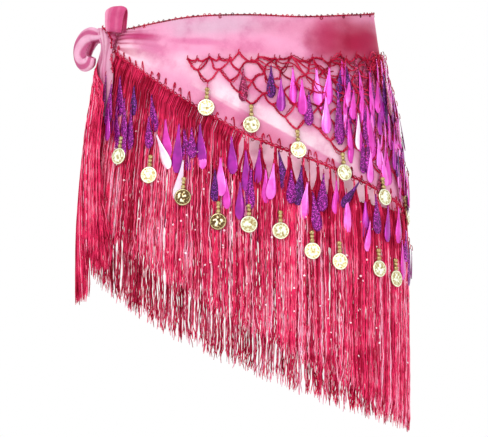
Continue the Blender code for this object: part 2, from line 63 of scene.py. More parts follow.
# The part's own values, in the same form as its solids have them
CLOTH = 1.2 * MM
SEAM_GAP = 0.3 * MM
STRIP_ANGLE = 1.4
WAIST_CORD = 0.9 * MM
HEM_CORD = 1.2 * MM
NET_THREAD = 1.4 * MM
NET_HALF_CELL = 12.5 * MM
NET_ROW = 13 * MM
NET_BELOW_WAIST = 47 * MM
NET_REACH = 23
COIN_RADIUS = 9.3 * MM
COIN_THICKNESS = 1.0 * MM
BEAD_RADIUS = 2.2 * MM
STRING_RADIUS = 0.6 * MM
KNOT_ANGLE = 20.0
POINT_ANGLE = 180.0

Section = namedtuple("Section", "height half_width front_depth back_depth")
FIGURE = (
    Section(-0.480, 0.182, 0.114, 0.131),
    Section(-0.300, 0.182, 0.114, 0.132),
    Section(-0.240, 0.181, 0.113, 0.132),
    Section(-0.190, 0.177, 0.112, 0.130),
    Section(-0.140, 0.171, 0.110, 0.125),
    Section(-0.090, 0.162, 0.107, 0.118),
    Section(-0.040, 0.153, 0.102, 0.108),
    Section(0.000, 0.147, 0.098, 0.100),
    Section(0.030, 0.143, 0.094, 0.094),
)
Station = namedtuple("Station", "share waist hem fringe_end")
STATIONS = (
    Station(0.00, -0.0130, -0.0310, -0.222),
    Station(0.15, -0.0090, -0.0590, -0.254),
    Station(0.30, -0.0028, -0.0960, -0.300),
    Station(0.45, -0.0015, -0.1340, -0.345),
    Station(0.60, -0.0022, -0.1600, -0.386),
    Station(0.80, 0.0050, -0.1905, -0.429),
    Station(1.00, 0.0130, -0.2140, -0.447),
)
Fold = namedtuple("Fold", "side drop_at_knot drop_at_end reach lift width")
FOLDS = (
    Fold(FRONT, 0.24, 0.12, 0.48, 3.0 * MM, 0.13),
    Fold(FRONT, 0.52, 0.34, 0.62, 3.8 * MM, 0.14),
    Fold(FRONT, 0.80, 0.66, 0.36, 2.6 * MM, 0.12),
    Fold(BACK, 0.28, 0.16, 0.52, 3.4 * MM, 0.14),
    Fold(BACK, 0.60, 0.46, 0.44, 3.6 * MM, 0.15),
)
NECK_LIFT = 2.2 * MM
NECK_REACH = 0.12
KNOT_SEAM_SHARE = 0.0006
TailRow = namedtuple("TailRow", "height near_angle near_lift far_angle far_lift")
TAILS = {
    FRONT: (
        TailRow(-0.108, 27.0, 5.6 * MM, 24.0, 6.4 * MM),
        TailRow(-0.090, 28.0, 5.6 * MM, 18.0, 8.6 * MM),
        TailRow(-0.066, 27.0, 6.0 * MM, 11.0, 12.0 * MM),
        TailRow(-0.050, 25.0, 7.5 * MM, 10.5, 12.5 * MM),
        TailRow(-0.0314, 22.5, 10.0 * MM, 16.0, 11.5 * MM),
    ),
    BACK: (
        TailRow(-0.122, -5.5, 5.6 * MM, -3.0, 6.4 * MM),
        TailRow(-0.102, -6.5, 5.6 * MM, 2.0, 8.0 * MM),
        TailRow(-0.076, -6.0, 6.2 * MM, 7.0, 10.0 * MM),
        TailRow(-0.052, -1.0, 7.6 * MM, 7.5, 11.0 * MM),
        TailRow(-0.0322, 8.7, 10.0 * MM, 15.2, 11.5 * MM),
    ),
}
TailFringe = namedtuple("TailFringe", "near_angle far_angle lift end")
TAIL_FRINGES = {
    FRONT: TailFringe(37.0, 25.0, 4.0 * MM, -0.272),
    BACK: TailFringe(-10.0, 21.5, 4.6 * MM, -0.304),
}
FringePart = namedtuple("FringePart", "name locks chained")
FRINGE_PARTS = (
    FringePart("point", 26, True),
    FringePart("middle", 26, True),
    FringePart("knot", 26, False),
)
FRINGE_MARGIN = 1.0 * MM
STRIP_TOP = 2 * (SEAM_GAP + HEM_CORD) + SEAM_GAP / 2
CHAIN_LOCKS = 3
CHAIN_LENGTH = 34 * MM
CHAIN_END_SHARE = 0.44
HemCoin = namedtuple("HemCoin", "share drop")
HEM_COINS = (
    HemCoin(0.115, 112 * MM),
    HemCoin(0.214, 112 * MM),
    HemCoin(0.302, 115 * MM),
    HemCoin(0.382, 121 * MM),
    HemCoin(0.448, 108 * MM),
    HemCoin(0.516, 102 * MM),
    HemCoin(0.587, 112 * MM),
    HemCoin(0.654, 112 * MM),
    HemCoin(0.772, 100 * MM),
    HemCoin(0.844, 100 * MM),
)
NetCoin = namedtuple("NetCoin", "column thread")
NET_COINS = (
    NetCoin(1, 14.5 * MM),
    NetCoin(5, 18.0 * MM),
    NetCoin(9, 14.5 * MM),
    NetCoin(13, 14.5 * MM),
    NetCoin(17, 14.5 * MM),
    NetCoin(21, 21.0 * MM),
)
BOW_AZIMUTH = 40.0
KNOT_HEIGHT = -0.0200
KNOT_RADII = (12.0 * MM, 6.8 * MM, 11.5 * MM)
LoopStop = namedtuple("LoopStop", "across up radius")
LoopRow = namedtuple("LoopRow", ("number", *LoopStop._fields))
SIDE_LOOP = (
    LoopStop(-10.8 * MM, 3.0 * MM, 5.4 * MM),
    LoopStop(-20.5 * MM, 6.5 * MM, 7.8 * MM),
    LoopStop(-31.0 * MM, 3.0 * MM, 8.8 * MM),
    LoopStop(-39.0 * MM, -6.5 * MM, 9.0 * MM),
    LoopStop(-41.0 * MM, -18.0 * MM, 8.2 * MM),
    LoopStop(-37.0 * MM, -27.0 * MM, 7.0 * MM),
    LoopStop(-29.0 * MM, -28.0 * MM, 6.0 * MM),
    LoopStop(-25.5 * MM, -20.5 * MM, 4.6 * MM),
)

# The picture: the camera looks slightly up at the scarf's middle, from far enough to look flat
CAMERA_AIM = Vector((0.0, 0.0, -0.2165))
CAMERA_DISTANCE = 4.5
CAMERA_ELEVATION = -5.0
PICTURE_WIDTH = 0.545
SENSOR = 36.0
FLOOR_HALF = 1.5
FLOOR_HEIGHT = -0.62
Light = namedtuple("Light", "name place size power")
LIGHTS = (
    Light("key", (-1.3, -2.2, 1.3), 1.0, 28),
    Light("fill", (1.7, -1.8, 0.3), 1.0, 8),
    Light("back", (0.8, 2.2, 1.0), 1.2, 42),
)

# Cloth as it looks.
SHEER = 0.5 * MM
BOW_CLOTH = 0.8 * MM
LIGHT_THROUGH = 0.36

# Crochet and strands as they look. The net's second and crossing threads are given as chances.
EDGING_END = 0.995
STRAND_PITCH = 1.75 * MM
STRAND_INSET = 0.6 * MM
STRAND_RADIUS = 0.62 * MM
STRAND_STEP = 6.3 * MM
STRAND_LAYERS = (-0.3 * MM, 0.5 * MM, 1.5 * MM)
CLUMP_DRAW = 0.26
DRAW_START = 15 * MM
DRAW_REACH = 75 * MM
CURL_LENGTH = 16 * MM
THICK_HEAD = 50 * MM
# Painted shade: each fringe strand is darker near its top, where the strands crowd under the hem and the
# spangles
HEAD_SHADE_START = 12 * MM
HEAD_SHADE_REACH = 45 * MM
HEAD_SLANT = 4.5 * MM
HEAD_REACH = 13 * MM
DRIFT_DEPTH = 0.2
BUNCH_NECK = 13 * MM
BUNCH_REACH = 26 * MM
STITCH_HEIGHT = 1.2 * MM
TAIL_STRANDS = 110
STRANDS_OVER_TAIL = 64
FALL_STEPS = 32
CHAIN_STEPS = 24
NET_STEPS = 7
SECOND_THREADS = 0.75
CROSSING_THREADS = 0.7
KNOT_BULGE = (0.5, 1.2, 1.45, 1.2, 0.5)
ThreadKind = namedtuple("ThreadKind", "slot sides")
THREAD_KINDS = {
    "crochet": ThreadKind("crochet_thread", 4),
    "fringe": ThreadKind("fringe_thread", 3),
}
BEADS = 3
SEQUINS = 190
SEQUIN_SIDES = 8

# The cloth that comes over the knot and runs on as the front hanging end. Near is the right edge.
KnotRow = namedtuple("KnotRow", "near far up outward")
OVER_KNOT = (
    KnotRow(8.0 * MM, -8.5 * MM, -9.0 * MM, 7.8 * MM),
    KnotRow(8.5 * MM, -11.0 * MM, 0.0 * MM, 9.2 * MM),
    KnotRow(3.0 * MM, -15.0 * MM, 9.0 * MM, 6.0 * MM),
    KnotRow(-3.0 * MM, -16.0 * MM, 12.5 * MM, -1.0 * MM),
)
LOOP_ROOT = LoopStop(-3.0 * MM, 1.0 * MM, 5.0 * MM)

# The side loop is soft, so its cloth fills out towards the middle of its curl
LOOP_EYE = Vector((-26.0 * MM, -13.0 * MM))
LOOP_FULLNESS = 0.17

# Clouds of dye on the front, by their place in the front view, in millimetres. Tilt is degrees from level.
Cloud = namedtuple("Cloud", "x z half_width half_height tilt colour strength")
CLOUDS = (
    Cloud(-27, -12, 66, 12, 2, (226, 192, 212), 0.95),
    Cloud(-118, -44, 32, 13, -25, (252, 226, 238), 1.0),
    Cloud(-80, -40, 22, 8, -12, (236, 150, 196), 0.8),
    Cloud(-118, -20, 24, 4, -6, (216, 80, 146), 0.9),
    Cloud(-50, -30, 30, 4, -4, (226, 122, 176), 0.7),
    Cloud(-56, -58, 34, 13, -28, (250, 216, 232), 0.9),
    Cloud(4, -42, 26, 12, -4, (230, 136, 182), 0.6),
    Cloud(30, -56, 46, 10, -8, (244, 206, 220), 0.8),
    Cloud(52, -14, 40, 10, 0, (226, 148, 182), 0.6),
    Cloud(90, -24, 18, 26, 0, (208, 84, 132), 0.95),
    Cloud(126, -26, 44, 28, 6, (186, 34, 80), 1.0),
    Cloud(156, -50, 28, 38, 0, (188, 40, 92), 0.95),
    Cloud(-30, -106, 32, 16, -26, (230, 136, 178), 0.6),
    Cloud(22, -134, 34, 12, -26, (224, 118, 160), 0.6),
    Cloud(96, -114, 26, 10, -20, (214, 124, 166), 0.6),
    Cloud(132, -104, 22, 40, 0, (186, 62, 118), 0.75),
)

# The dyes, as screen colours, with the colours of painted light and shade among them. A pair is the pale one
# and the deep one of a cloudy stretch.
CHIFFON = (242, 180, 212)
PALE_DYE = (254, 240, 246)
# Painted shade for the troughs of the pleats at the knot
PLEAT_TROUGH_SHADE = (196, 44, 104)
BACK_CRIMSON = (186, 48, 96)
BACK_BLUSH = (242, 208, 220)
# Painted light for the inside of the back's low part towards the point, seen through the gaps between the
# chains
BACK_PAINTED_LIGHT = (255, 238, 245)
UPPER_LOOP_PALE = (250, 178, 212)
# Painted shade for the upper loop's right side and its pleats' troughs
UPPER_LOOP_SHADE = (224, 96, 152)
# The side loop's colours: painted highlight along its pleats' ridges and painted shade in their troughs
SIDE_LOOP_PALE = (252, 208, 232)
SIDE_LOOP_TROUGH_SHADE = (212, 84, 146)
KNOT_DYES = ((232, 140, 182), (204, 60, 120))
TAIL_DYES = {
    FRONT: ((250, 212, 230), (238, 146, 194)),
    BACK: ((246, 188, 216), (228, 112, 166)),
}
# Painted shade for the troughs of the hanging ends' pleats
TAIL_TROUGH_SHADE = (202, 76, 136)
TAIL_GREY = (222, 200, 212)

# Pale stripes with one crisp edge, where the cloth lies double. They run between two places, in millimetres.
Stripe = namedtuple("Stripe", "x0 z0 x1 z1 width strength")
STRIPES = (
    Stripe(-44, -84, 128, -176, 23, 0.95),
    Stripe(-62, -76, 6, -116, 9, 0.55),
    Stripe(40, -98, 140, -136, 12, 0.5),
)

# Spangles on the front, by the top of each in the front view, in millimetres. Lean is degrees from plumb.
Spangle = namedtuple("Spangle", "x z length tint lean")
HEM_SPANGLES = (
    Spangle(-150, -84, 44, "violet", 8),
    Spangle(-138, -64, 46, "glitter", 3),
    Spangle(-133, -90, 50, "glitter", 2),
    Spangle(-131, -114, 46, "glitter", -5),
    Spangle(-142, -98, 48, "glitter", 3),
    Spangle(-125, -102, 46, "glitter", -3),
    Spangle(-122, -76, 34, "night", 2),
    Spangle(-103, -88, 42, "glitter", 6),
    Spangle(-106, -112, 36, "glitter", 2),
    Spangle(-97, -132, 42, "white", 22),
    Spangle(-87, -116, 44, "magenta", 2),
    Spangle(-72, -122, 54, "violet", -3),
    Spangle(-66, -128, 46, "glitter", 6),
    Spangle(-58, -126, 34, "glitter", 2),
    Spangle(-49, -122, 46, "violet", 2),
    Spangle(-44, -142, 30, "pink", -4),
    Spangle(-67, -162, 46, "white", -9),
    Spangle(-26, -160, 42, "pink", 0),
    Spangle(-20, -182, 34, "magenta", 2),
    Spangle(-14, -136, 42, "violet", 2),
    Spangle(-32, -172, 36, "night", 0),
    Spangle(2, -152, 46, "violet", 3),
    Spangle(8, -172, 46, "glitter", -4),
    Spangle(-4, -186, 42, "violet", 0),
    Spangle(17, -150, 38, "violet", -4),
    Spangle(24, -172, 38, "magenta", 2),
    Spangle(33, -166, 40, "pink", -6),
    Spangle(38, -152, 46, "night", 12),
    Spangle(52, -172, 38, "glitter", 0),
    Spangle(64, -168, 44, "night", -6),
    Spangle(70, -186, 42, "pink", -8),
    Spangle(76, -196, 44, "glitter", 8),
    Spangle(88, -176, 42, "glitter", -3),
    Spangle(102, -182, 38, "magenta", 0),
    Spangle(113, -196, 44, "pink", 6),
    Spangle(128, -184, 36, "night", -38),
    Spangle(134, -204, 46, "violet", 2),
    Spangle(140, -226, 34, "pink", -6),
    Spangle(146, -196, 44, "glitter", 4),
    Spangle(160, -206, 42, "violet", -4),
    Spangle(172, -208, 40, "magenta", 0),
    Spangle(180, -232, 36, "glitter", 0),
)
NET_SPANGLES = (
    Spangle(-1, -62, 36, "maroon", 0),
    Spangle(30, -58, 36, "night", 0),
    Spangle(41, -72, 37, "violet", 0),
    Spangle(54, -60, 42, "magenta", 3),
    Spangle(64, -72, 40, "magenta", 0),
    Spangle(72, -86, 38, "glitter", 0),
    Spangle(80, -60, 48, "pink", 3),
    Spangle(91, -90, 42, "pink", 0),
    Spangle(95, -58, 42, "magenta", -4),
    Spangle(104, -82, 62, "glitter", 0),
    Spangle(114, -56, 36, "night", 6),
    Spangle(127, -108, 40, "white", 0),
    Spangle(117, -100, 38, "glitter", -3),
    Spangle(130, -80, 46, "magenta", 8),
    Spangle(137, -98, 52, "magenta", 4),
    Spangle(140, -58, 38, "glitter", 4),
    Spangle(150, -74, 42, "violet", 6),
)
TAIL_SPANGLES = (
    Spangle(-154, -62, 40, "glitter", 3),
    Spangle(-148, -74, 46, "glitter", -2),
    Spangle(-151, -100, 38, "violet", 2),
)

# How often each tint comes among the spangles that are placed at random
TINTS = {
    "glitter": 0.21,
    "violet": 0.13,
    "magenta": 0.34,
    "pink": 0.14,
    "maroon": 0.14,
    "night": 0.03,
    "white": 0.01,
}

# Coins painted dark all over, as a painted dark reflection
DARK_REFLECTION_COINS = ("hem_coin_front_03", "hem_coin_front_04", "hem_coin_back_04", "net_coin_back_03")


def linear(colour, alpha=1.0):
    """A screen colour, 0 to 255 a channel, as the linear colour that Blender wants."""
    parts = [c / 255 for c in colour]
    return (*(c / 12.92 if c <= 0.04045 else ((c + 0.055) / 1.055) ** 2.4 for c in parts), alpha)


def dye_colour(colour):
    return np.array(linear(colour)[:3])


def tinted(colour, amount, dye):
    """A colour with an amount of a dye in it, 0 for none and 1 for the dye alone."""
    return colour + amount * (dye_colour(dye) - colour)


def clamp(t):
    return min(max(t, 0.0), 1.0)


def ease(t):
    t = clamp(t)
    return t * t * (3 - 2 * t)


def wander(x, y, z):
    """Smooth noise about zero, the same at every run."""
    return noise.noise(Vector((x, y, z)))


def blend_rows(rows, column, at):
    """The value of a column at a place along the rows' first column, on a smooth curve through them."""
    keys = [row[0] for row in rows]
    values = [getattr(row, column) for row in rows]
    i = min(max(bisect_right(keys, at) - 1, 0), len(rows) - 2)
    span = keys[i + 1] - keys[i]
    t = clamp((at - keys[i]) / span)

    def slope(j):
        low, high = max(j - 1, 0), min(j + 1, len(rows) - 1)
        return (values[high] - values[low]) / (keys[high] - keys[low])

    start = (1 + 2 * t) * (1 - t) ** 2 * values[i] + t * (1 - t) ** 2 * span * slope(i)
    end = t * t * (3 - 2 * t) * values[i + 1] + t * t * (t - 1) * span * slope(i + 1)
    return start + end


def dense_rows(rows, low, high, steps):
    """The rows' other columns at even steps, so that they can be read quickly."""
    columns = rows[0]._fields[1:]
    places = [low + (high - low) * i / steps for i in range(steps + 1)]
    return [tuple(blend_rows(rows, column, at) for column in columns) for at in places]


FIGURE_LOW, FIGURE_HIGH, FIGURE_STEPS = -0.480, 0.030, 510
DENSE_FIGURE = dense_rows(FIGURE, FIGURE_LOW, FIGURE_HIGH, FIGURE_STEPS)
STATION_STEPS = 400
DENSE_STATIONS = dense_rows(STATIONS, 0.0, 1.0, STATION_STEPS)


def read_dense(dense, t):
    """The columns at t, from 0 to 1 along the dense rows."""
    at = clamp(t) * (len(dense) - 1)
    i = min(int(at), len(dense) - 2)
    part = at - i
    return [a + part * (b - a) for a, b in zip(dense[i], dense[i + 1])]


def stations(share):
    """The heights of the waist edge, the hem and the fringe's ends."""
    return read_dense(DENSE_STATIONS, share)


def figure_section(height):
    return read_dense(DENSE_FIGURE, (height - FIGURE_LOW) / (FIGURE_HIGH - FIGURE_LOW))


def figure_base(angle, height):
    """A point on the figure. Angle 0 is on the knot's side, 90 the front, 180 the point's side."""
    turn = math.radians(angle)
    half_width, front_depth, back_depth = figure_section(height)
    depth = front_depth if math.sin(turn) > 0 else back_depth
    return Vector((-half_width * math.cos(turn), -depth * math.sin(turn), height))


def figure_normal(angle, height):
    """The outward direction at a point on the figure."""
    along = figure_base(angle + 0.5, height) - figure_base(angle - 0.5, height)
    up = figure_base(angle, height + 2 * MM) - figure_base(angle, height - 2 * MM)
    return along.cross(up).normalized()


def figure_point(angle, height, lift):
    return figure_base(angle, height) + lift * figure_normal(angle, height)


def angle_at(side, share):
    if side == FRONT:
        return KNOT_ANGLE + share * (POINT_ANGLE - KNOT_ANGLE)
    return KNOT_ANGLE - share * (POINT_ANGLE + KNOT_ANGLE)


def normal_at(side, share, height):
    return figure_normal(angle_at(side, share), height)


def neck_lift(share):
    return NECK_LIFT * (1 - ease(share / NECK_REACH))


def fold_lift(side, share, drop):
    """The large folds, as the solids have them."""
    total = 0.0
    for fold in FOLDS:
        if fold.side != side or share >= fold.reach:
            continue
        run = share / fold.reach
        middle = fold.drop_at_knot + run * (fold.drop_at_end - fold.drop_at_knot)
        ridge = math.exp(-0.5 * ((drop - middle) / fold.width) ** 2)
        total += fold.lift * (1 - ease(run)) * ease(run * 6) * ridge
    return total


def gather(side, share, drop):
    """The fine pleats that fan out from the knot, from -1 to 1, and how strong they are."""
    drift = wander(share * 3.0, drop * 2.0, 4.0 * side)
    uneven = 0.7 + 0.6 * wander(drop * 6.0, share * 2.0, 3.0 + side)
    wave = math.sin((drop * 6.5 + 1.5 * drift) * 2 * math.pi) * uneven
    reach = 0.3 + 0.14 * wander(drop * 4.0, 0.0, 8.0 * side)
    return wave, (1 - ease(share / reach)) * min(1.0, 0.4 + share * 14)


def cloth_lift(side, share, drop):
    """Folds, fine pleats and slack creases along the cloth, all in one distance outwards."""
    wave, strength = gather(side, share, drop)
    crease = wander(share * 5.0, drop * 9.0 + 2.0 * share, 9.0 + side)
    slack = wander(share * 13.0, drop * 3.0 - 5.0 * share, 2.0 * side)
    edge = ease(min(drop, 1 - drop) * 8)
    fine = 1.15 * strength * wave + 0.7 * crease + 0.5 * slack
    return fold_lift(side, share, drop) + fine * MM * edge


def cloth_point(side, share, height, lift):
    """A point outside the cloth's middle surface at a height."""
    waist, hem, _ = stations(share)
    drop = clamp((waist - height) / (waist - hem))
    total = lift + neck_lift(share) + cloth_lift(side, share, drop)
    return figure_point(angle_at(side, share), height, total)


def distances(side, height, steps=400):
    """Shares from the point to the knot, with the distance round the figure to each."""
    shares = [1 - i / steps for i in range(steps + 1)]
    points = [figure_base(angle_at(side, share), height) for share in shares]
    lengths = [0.0]
    for before, after in zip(points, points[1:]):
        lengths.append(lengths[-1] + (after - before).length)
    return shares, lengths


RULERS = {side: distances(side, -0.13) for side in SIDES}
LENGTHS = {side: RULERS[side][1][-1] for side in SIDES}


def share_at(side, distance):
    """The share of the place that lies this far from the scarf's point, round the figure."""
    shares, lengths = RULERS[side]
    i = min(max(bisect_right(lengths, distance) - 1, 0), len(lengths) - 2)
    t = (distance - lengths[i]) / (lengths[i + 1] - lengths[i])
    return shares[i] + t * (shares[i + 1] - shares[i])


def hem_height(side, share, below):
    """The height of a line that runs a distance below the hem, measured square to it."""
    low, high = max(share - 0.01, 0.0), min(share + 0.01, 1.0)
    rise = stations(high)[1] - stations(low)[1]
    hem = stations(share)[1]
    run = (figure_base(angle_at(side, high), hem) - figure_base(angle_at(side, low), hem)).length
    return hem - below * math.hypot(rise, run) / run


def on_hem(side, share, below, lift):
    return cloth_point(side, share, hem_height(side, share, below), lift)


def front_angle(x, height, lift):
    """The angle of the front's place that the front view shows at x."""
    half_width = figure_section(height)[0] + lift
    return math.degrees(math.acos(min(max(-x / half_width, -1.0), 1.0)))


def on_path(points, t):
    """The place at t, from 0 to 1, on a smooth curve through the points."""
    at = clamp(t) * (len(points) - 1)
    i = min(int(at), len(points) - 2)
    t = at - i
    before, start = points[max(i - 1, 0)], points[i]
    end, after = points[i + 1], points[min(i + 2, len(points) - 1)]
    straight = 2 * start + (end - before) * t
    square = (2 * before - 5 * start + 4 * end - after) * t * t
    cube = (3 * start - before - 3 * end + after) * t * t * t
    return 0.5 * (straight + square + cube)


def smooth_path(points, steps):
    """Points along a smooth curve through the given ones, with a number of steps between each two."""
    count = steps * (len(points) - 1)
    return [on_path(points, k / count) for k in range(count + 1)]


class Shader:
    """A material's nodes, with short calls to add and join them."""

    def __init__(self, name):
        self.material = bpy.data.materials.new(name)
        self.material.use_nodes = True
        self.tree = self.material.node_tree
        self.main = self.tree.nodes["Principled BSDF"]
        self.output = self.tree.nodes["Material Output"]

    def node(self, kind, **values):
        node = self.tree.nodes.new(f"ShaderNode{kind}")
        for key, value in values.items():
            setattr(node, key, value)
        return node

    def feed(self, socket, value):
        """Sets a socket to a value, or joins another node's socket to it."""
        if isinstance(value, bpy.types.NodeSocket):
            self.tree.links.new(value, socket)
        else:
            socket.default_value = value

    def attribute(self, name, output):
        node = self.node("Attribute")
        node.attribute_name = name
        return node.outputs[output]

    def texture(self, kind, **values):
        """A texture node at the piece's own place, with its values set by name."""
        node = self.node(kind)
        for key, value in values.items():
            node.inputs[key].default_value = value
        self.feed(node.inputs["Vector"], self.node("TexCoord").outputs["Object"])
        return node

    def noise(self, scale, detail=3.0, roughness=0.55):
        return self.texture("TexNoise", Scale=scale, Detail=detail, Roughness=roughness).outputs["Fac"]

    def cells(self, scale):
        """Two values that differ from cell to cell."""
        split = self.node("SeparateColor")
        self.feed(split.inputs["Color"], self.texture("TexVoronoi", Scale=scale).outputs["Color"])
        return split.outputs

    def ramp(self, factor, stops):
        node = self.node("ValToRGB")
        elements = node.color_ramp.elements
        while len(elements) < len(stops):
            elements.new(0.5)
        for element, (position, colour) in zip(elements, stops):
            element.position = position
            element.color = linear(colour)
        self.feed(node.inputs["Fac"], factor)
        return node.outputs["Color"]

    def mix(self, factor, first, second, kind="MIX"):
        node = self.node("Mix", data_type="RGBA", blend_type=kind)
        for socket, value in zip((node.inputs[0], node.inputs[6], node.inputs[7]), (factor, first, second)):
            self.feed(socket, value)
        return node.outputs[2]

    def add_scaled(self, value, scale, base):
        """value * scale + base, where each may be a socket or a number."""
        node = self.node("Math", operation="MULTIPLY_ADD")
        for socket, given in zip(node.inputs, (value, scale, base)):
            self.feed(socket, given)
        return node.outputs[0]

    def bump(self, height, distance, strength=1.0):
        node = self.node("Bump")
        node.inputs["Strength"].default_value = strength
        node.inputs["Distance"].default_value = distance
        self.feed(node.inputs["Height"], height)
        self.feed(self.main.inputs["Normal"], node.outputs["Normal"])

    def set(self, **values):
        for key, value in values.items():
            self.feed(self.main.inputs[key.replace("_", " ")], value)


def chiffon_material():
    """Sheer cloth: its dye is painted on its points, and mottled, and light comes through it."""
    shader = Shader("sheer_chiffon")
    dye = shader.attribute("dye", "Color")
    clouds = shader.noise(scale=34, detail=4, roughness=0.62)
    mottle = shader.ramp(clouds, ((0.34, (240, 206, 224)), (0.5, (252, 244, 248)), (0.66, (255, 255, 255))))
    colour = shader.mix(1.0, dye, mottle, "MULTIPLY")
    grain = shader.add_scaled(shader.noise(scale=1100, detail=2), scale=0.22, base=0.88)
    colour = shader.mix(1.0, colour, grain, "MULTIPLY")
    shader.set(Base_Color=colour, Roughness=0.7, Specular_IOR_Level=0.2)
    shader.bump(shader.noise(scale=420), distance=0.25 * MM, strength=0.4)
    through = shader.node("BsdfTranslucent")
    shader.feed(through.inputs["Color"], colour)
    both = shader.node("MixShader")
    both.inputs[0].default_value = LIGHT_THROUGH
    shader.feed(both.inputs[1], shader.main.outputs["BSDF"])
    shader.feed(both.inputs[2], through.outputs["BSDF"])
    shader.feed(shader.output.inputs["Surface"], both.outputs["Shader"])
    return shader.material


def thread_material(name, dark, mid, light):
    """Twisted thread: each strand has its own shade value, darker in places as painted shade, with fibres
    along it.
    """
    shader = Shader(name)
    shade = shader.attribute("shade", "Fac")
    fibres = shader.noise(scale=650)
    drifted = shader.add_scaled(shader.noise(scale=75, detail=2), 0.6, shade)
    patched = shader.add_scaled(shader.noise(scale=26, detail=2), 0.7, drifted)
    placed = shader.add_scaled(patched, scale=1.0, base=-0.67)
    colour = shader.ramp(placed, ((0.06, dark), (0.48, mid), (0.94, light)))
    colour = shader.mix(1.0, colour, shader.add_scaled(fibres, scale=0.6, base=0.66), "MULTIPLY")
    shader.set(Base_Color=colour, Roughness=0.55, Specular_IOR_Level=0.12)
    shader.bump(fibres, distance=0.3 * MM, strength=0.7)
    return shader.material


def gold_material():
    """Pale plated gold with darker tarnish in its low places."""
    shader = Shader("pale_gold")
    patina = shader.noise(scale=330, detail=4, roughness=0.7)
    worn = shader.add_scaled(patina, 0.7, shader.attribute("tone", "Fac"))
    stops = ((0.2, (84, 58, 30)), (0.38, (190, 164, 106)), (0.55, (222, 227, 188)), (0.8, (252, 254, 240)))
    colour = shader.ramp(worn, stops)
    shader.set(Base_Color=colour, Metallic=0.65, Roughness=shader.add_scaled(patina, 0.3, 0.16))
    shader.bump(shader.noise(scale=800, detail=2), distance=0.2 * MM, strength=0.7)
    return shader.material


def glitter_material(name, dark, mid, light):
    """Foil with glitter grains in it."""
    shader = Shader(name)
    grains = shader.cells(1200)
    # The grains differ in tone, and the lightest of them are painted glints
    colour = shader.ramp(grains[0], ((0.25, dark), (0.7, mid), (0.98, light)))
    shader.set(Base_Color=colour, Metallic=0.3, Roughness=0.34, Specular_IOR_Level=0.3)
    shader.bump(grains[1], distance=0.22 * MM, strength=0.6)
    return shader.material


def foil_material(name, low, high, metallic):
    """Smooth foil, slightly clouded, with fine rubbed marks."""
    shader = Shader(name)
    colour = shader.ramp(shader.noise(70, 2), ((0.35, low), (0.65, high)))
    shader.set(Base_Color=colour, Metallic=metallic, Roughness=0.2, Coat_Weight=0.3)
    shader.bump(shader.noise(scale=120, detail=2), distance=0.2 * MM, strength=0.4)
    return shader.material


def sequin_material():
    shader = Shader("clear_sequin")
    colour = shader.ramp(shader.noise(200, 1), ((0.4, (250, 190, 208)), (0.6, (255, 232, 240))))
    shader.set(Base_Color=colour, Roughness=0.12, Metallic=0.4)
    return shader.material


def make_materials():
    return {
        "chiffon": chiffon_material(),
        "crochet": thread_material("crimson_crochet", (96, 2, 30), (192, 8, 58), (240, 80, 122)),
        "fringe": thread_material("fringe_strands", (160, 0, 44), (253, 54, 112), (255, 190, 216)),
        "gold": gold_material(),
        "glitter": glitter_material("purple_glitter", (72, 0, 74), (138, 4, 122), (230, 78, 214)),
        "night": glitter_material("night_glitter", (46, 0, 54), (86, 4, 100), (156, 56, 176)),
        "maroon": glitter_material("maroon_glitter", (86, 4, 40), (156, 14, 76), (226, 100, 150)),
        "violet": foil_material("violet_foil", (140, 8, 136), (184, 24, 170), 0.4),
        "magenta": foil_material("magenta_foil", (206, 36, 160), (232, 70, 196), 0.45),
        "pink": foil_material("pink_foil", (236, 76, 200), (250, 128, 226), 0.4),
        "white": foil_material("pearl_foil", (234, 204, 228), (252, 240, 250), 0.3),
        "sequin": sequin_material(),
    }


def finish_piece(obj, *nodes):
    """Rides on the scarf's one body, in place of the solids that it stands for."""
    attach(obj, "root")
    if nodes:
        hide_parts(*nodes)
    return obj


def add_mesh(name, points, faces, materials, smooth=True):
    mesh = bpy.data.meshes.new(name)
    mesh.from_pydata([tuple(p) for p in points], [], faces)
    for material in materials:
        mesh.materials.append(material)
    if smooth:
        mesh.shade_smooth()
    obj = bpy.data.objects.new(name, mesh)
    bpy.context.scene.collection.objects.link(obj)
    return obj


def paint(obj, name, values):
    """One number or colour for each point of a mesh."""
    kind = "FLOAT" if np.ndim(values) == 1 else "FLOAT_COLOR"
    attribute = obj.data.attributes.new(name, kind, "POINT")
    field = "value" if kind == "FLOAT" else "color"
    attribute.data.foreach_set(field, np.asarray(values, dtype=np.float32).ravel())


Run = namedtuple("Run", "points facing radius shade")


def as_rows(vectors):
    """One vector or a list of them, as rows of numbers."""
    if isinstance(vectors, Vector):
        return np.array([tuple(vectors)])
    return np.array([tuple(v) for v in vectors])


def path_frame(points, facing):
    """A path's points, with directions across it and outwards from it at each."""
    path = as_rows(points)
    along = np.gradient(path, axis=0)
    along /= np.linalg.norm(along, axis=1)[:, None] + 1e-12
    across = np.cross(along, as_rows(facing))
    across /= np.linalg.norm(across, axis=1)[:, None] + 1e-12
    return path, across, np.cross(across, along)


def tube(run, sides):
    """The points and faces of one closed tube."""
    path, across, outward = path_frame(run.points, run.facing)
    count = len(path)
    radius = np.broadcast_to(np.asarray(run.radius, dtype=float), count)[:, None]
    turns = [2 * math.pi * i / sides for i in range(sides)]
    points = [path + radius * (math.cos(a) * across + math.sin(a) * outward) for a in turns]
    faces = []
    for i in range(sides):
        a, b = i * count, (i + 1) % sides * count
        faces += [(a + k, a + k + 1, b + k + 1, b + k) for k in range(count - 1)]
    faces.append(tuple(i * count for i in range(sides)))
    faces.append(tuple(i * count + count - 1 for i in reversed(range(sides))))
    return np.concatenate(points), faces


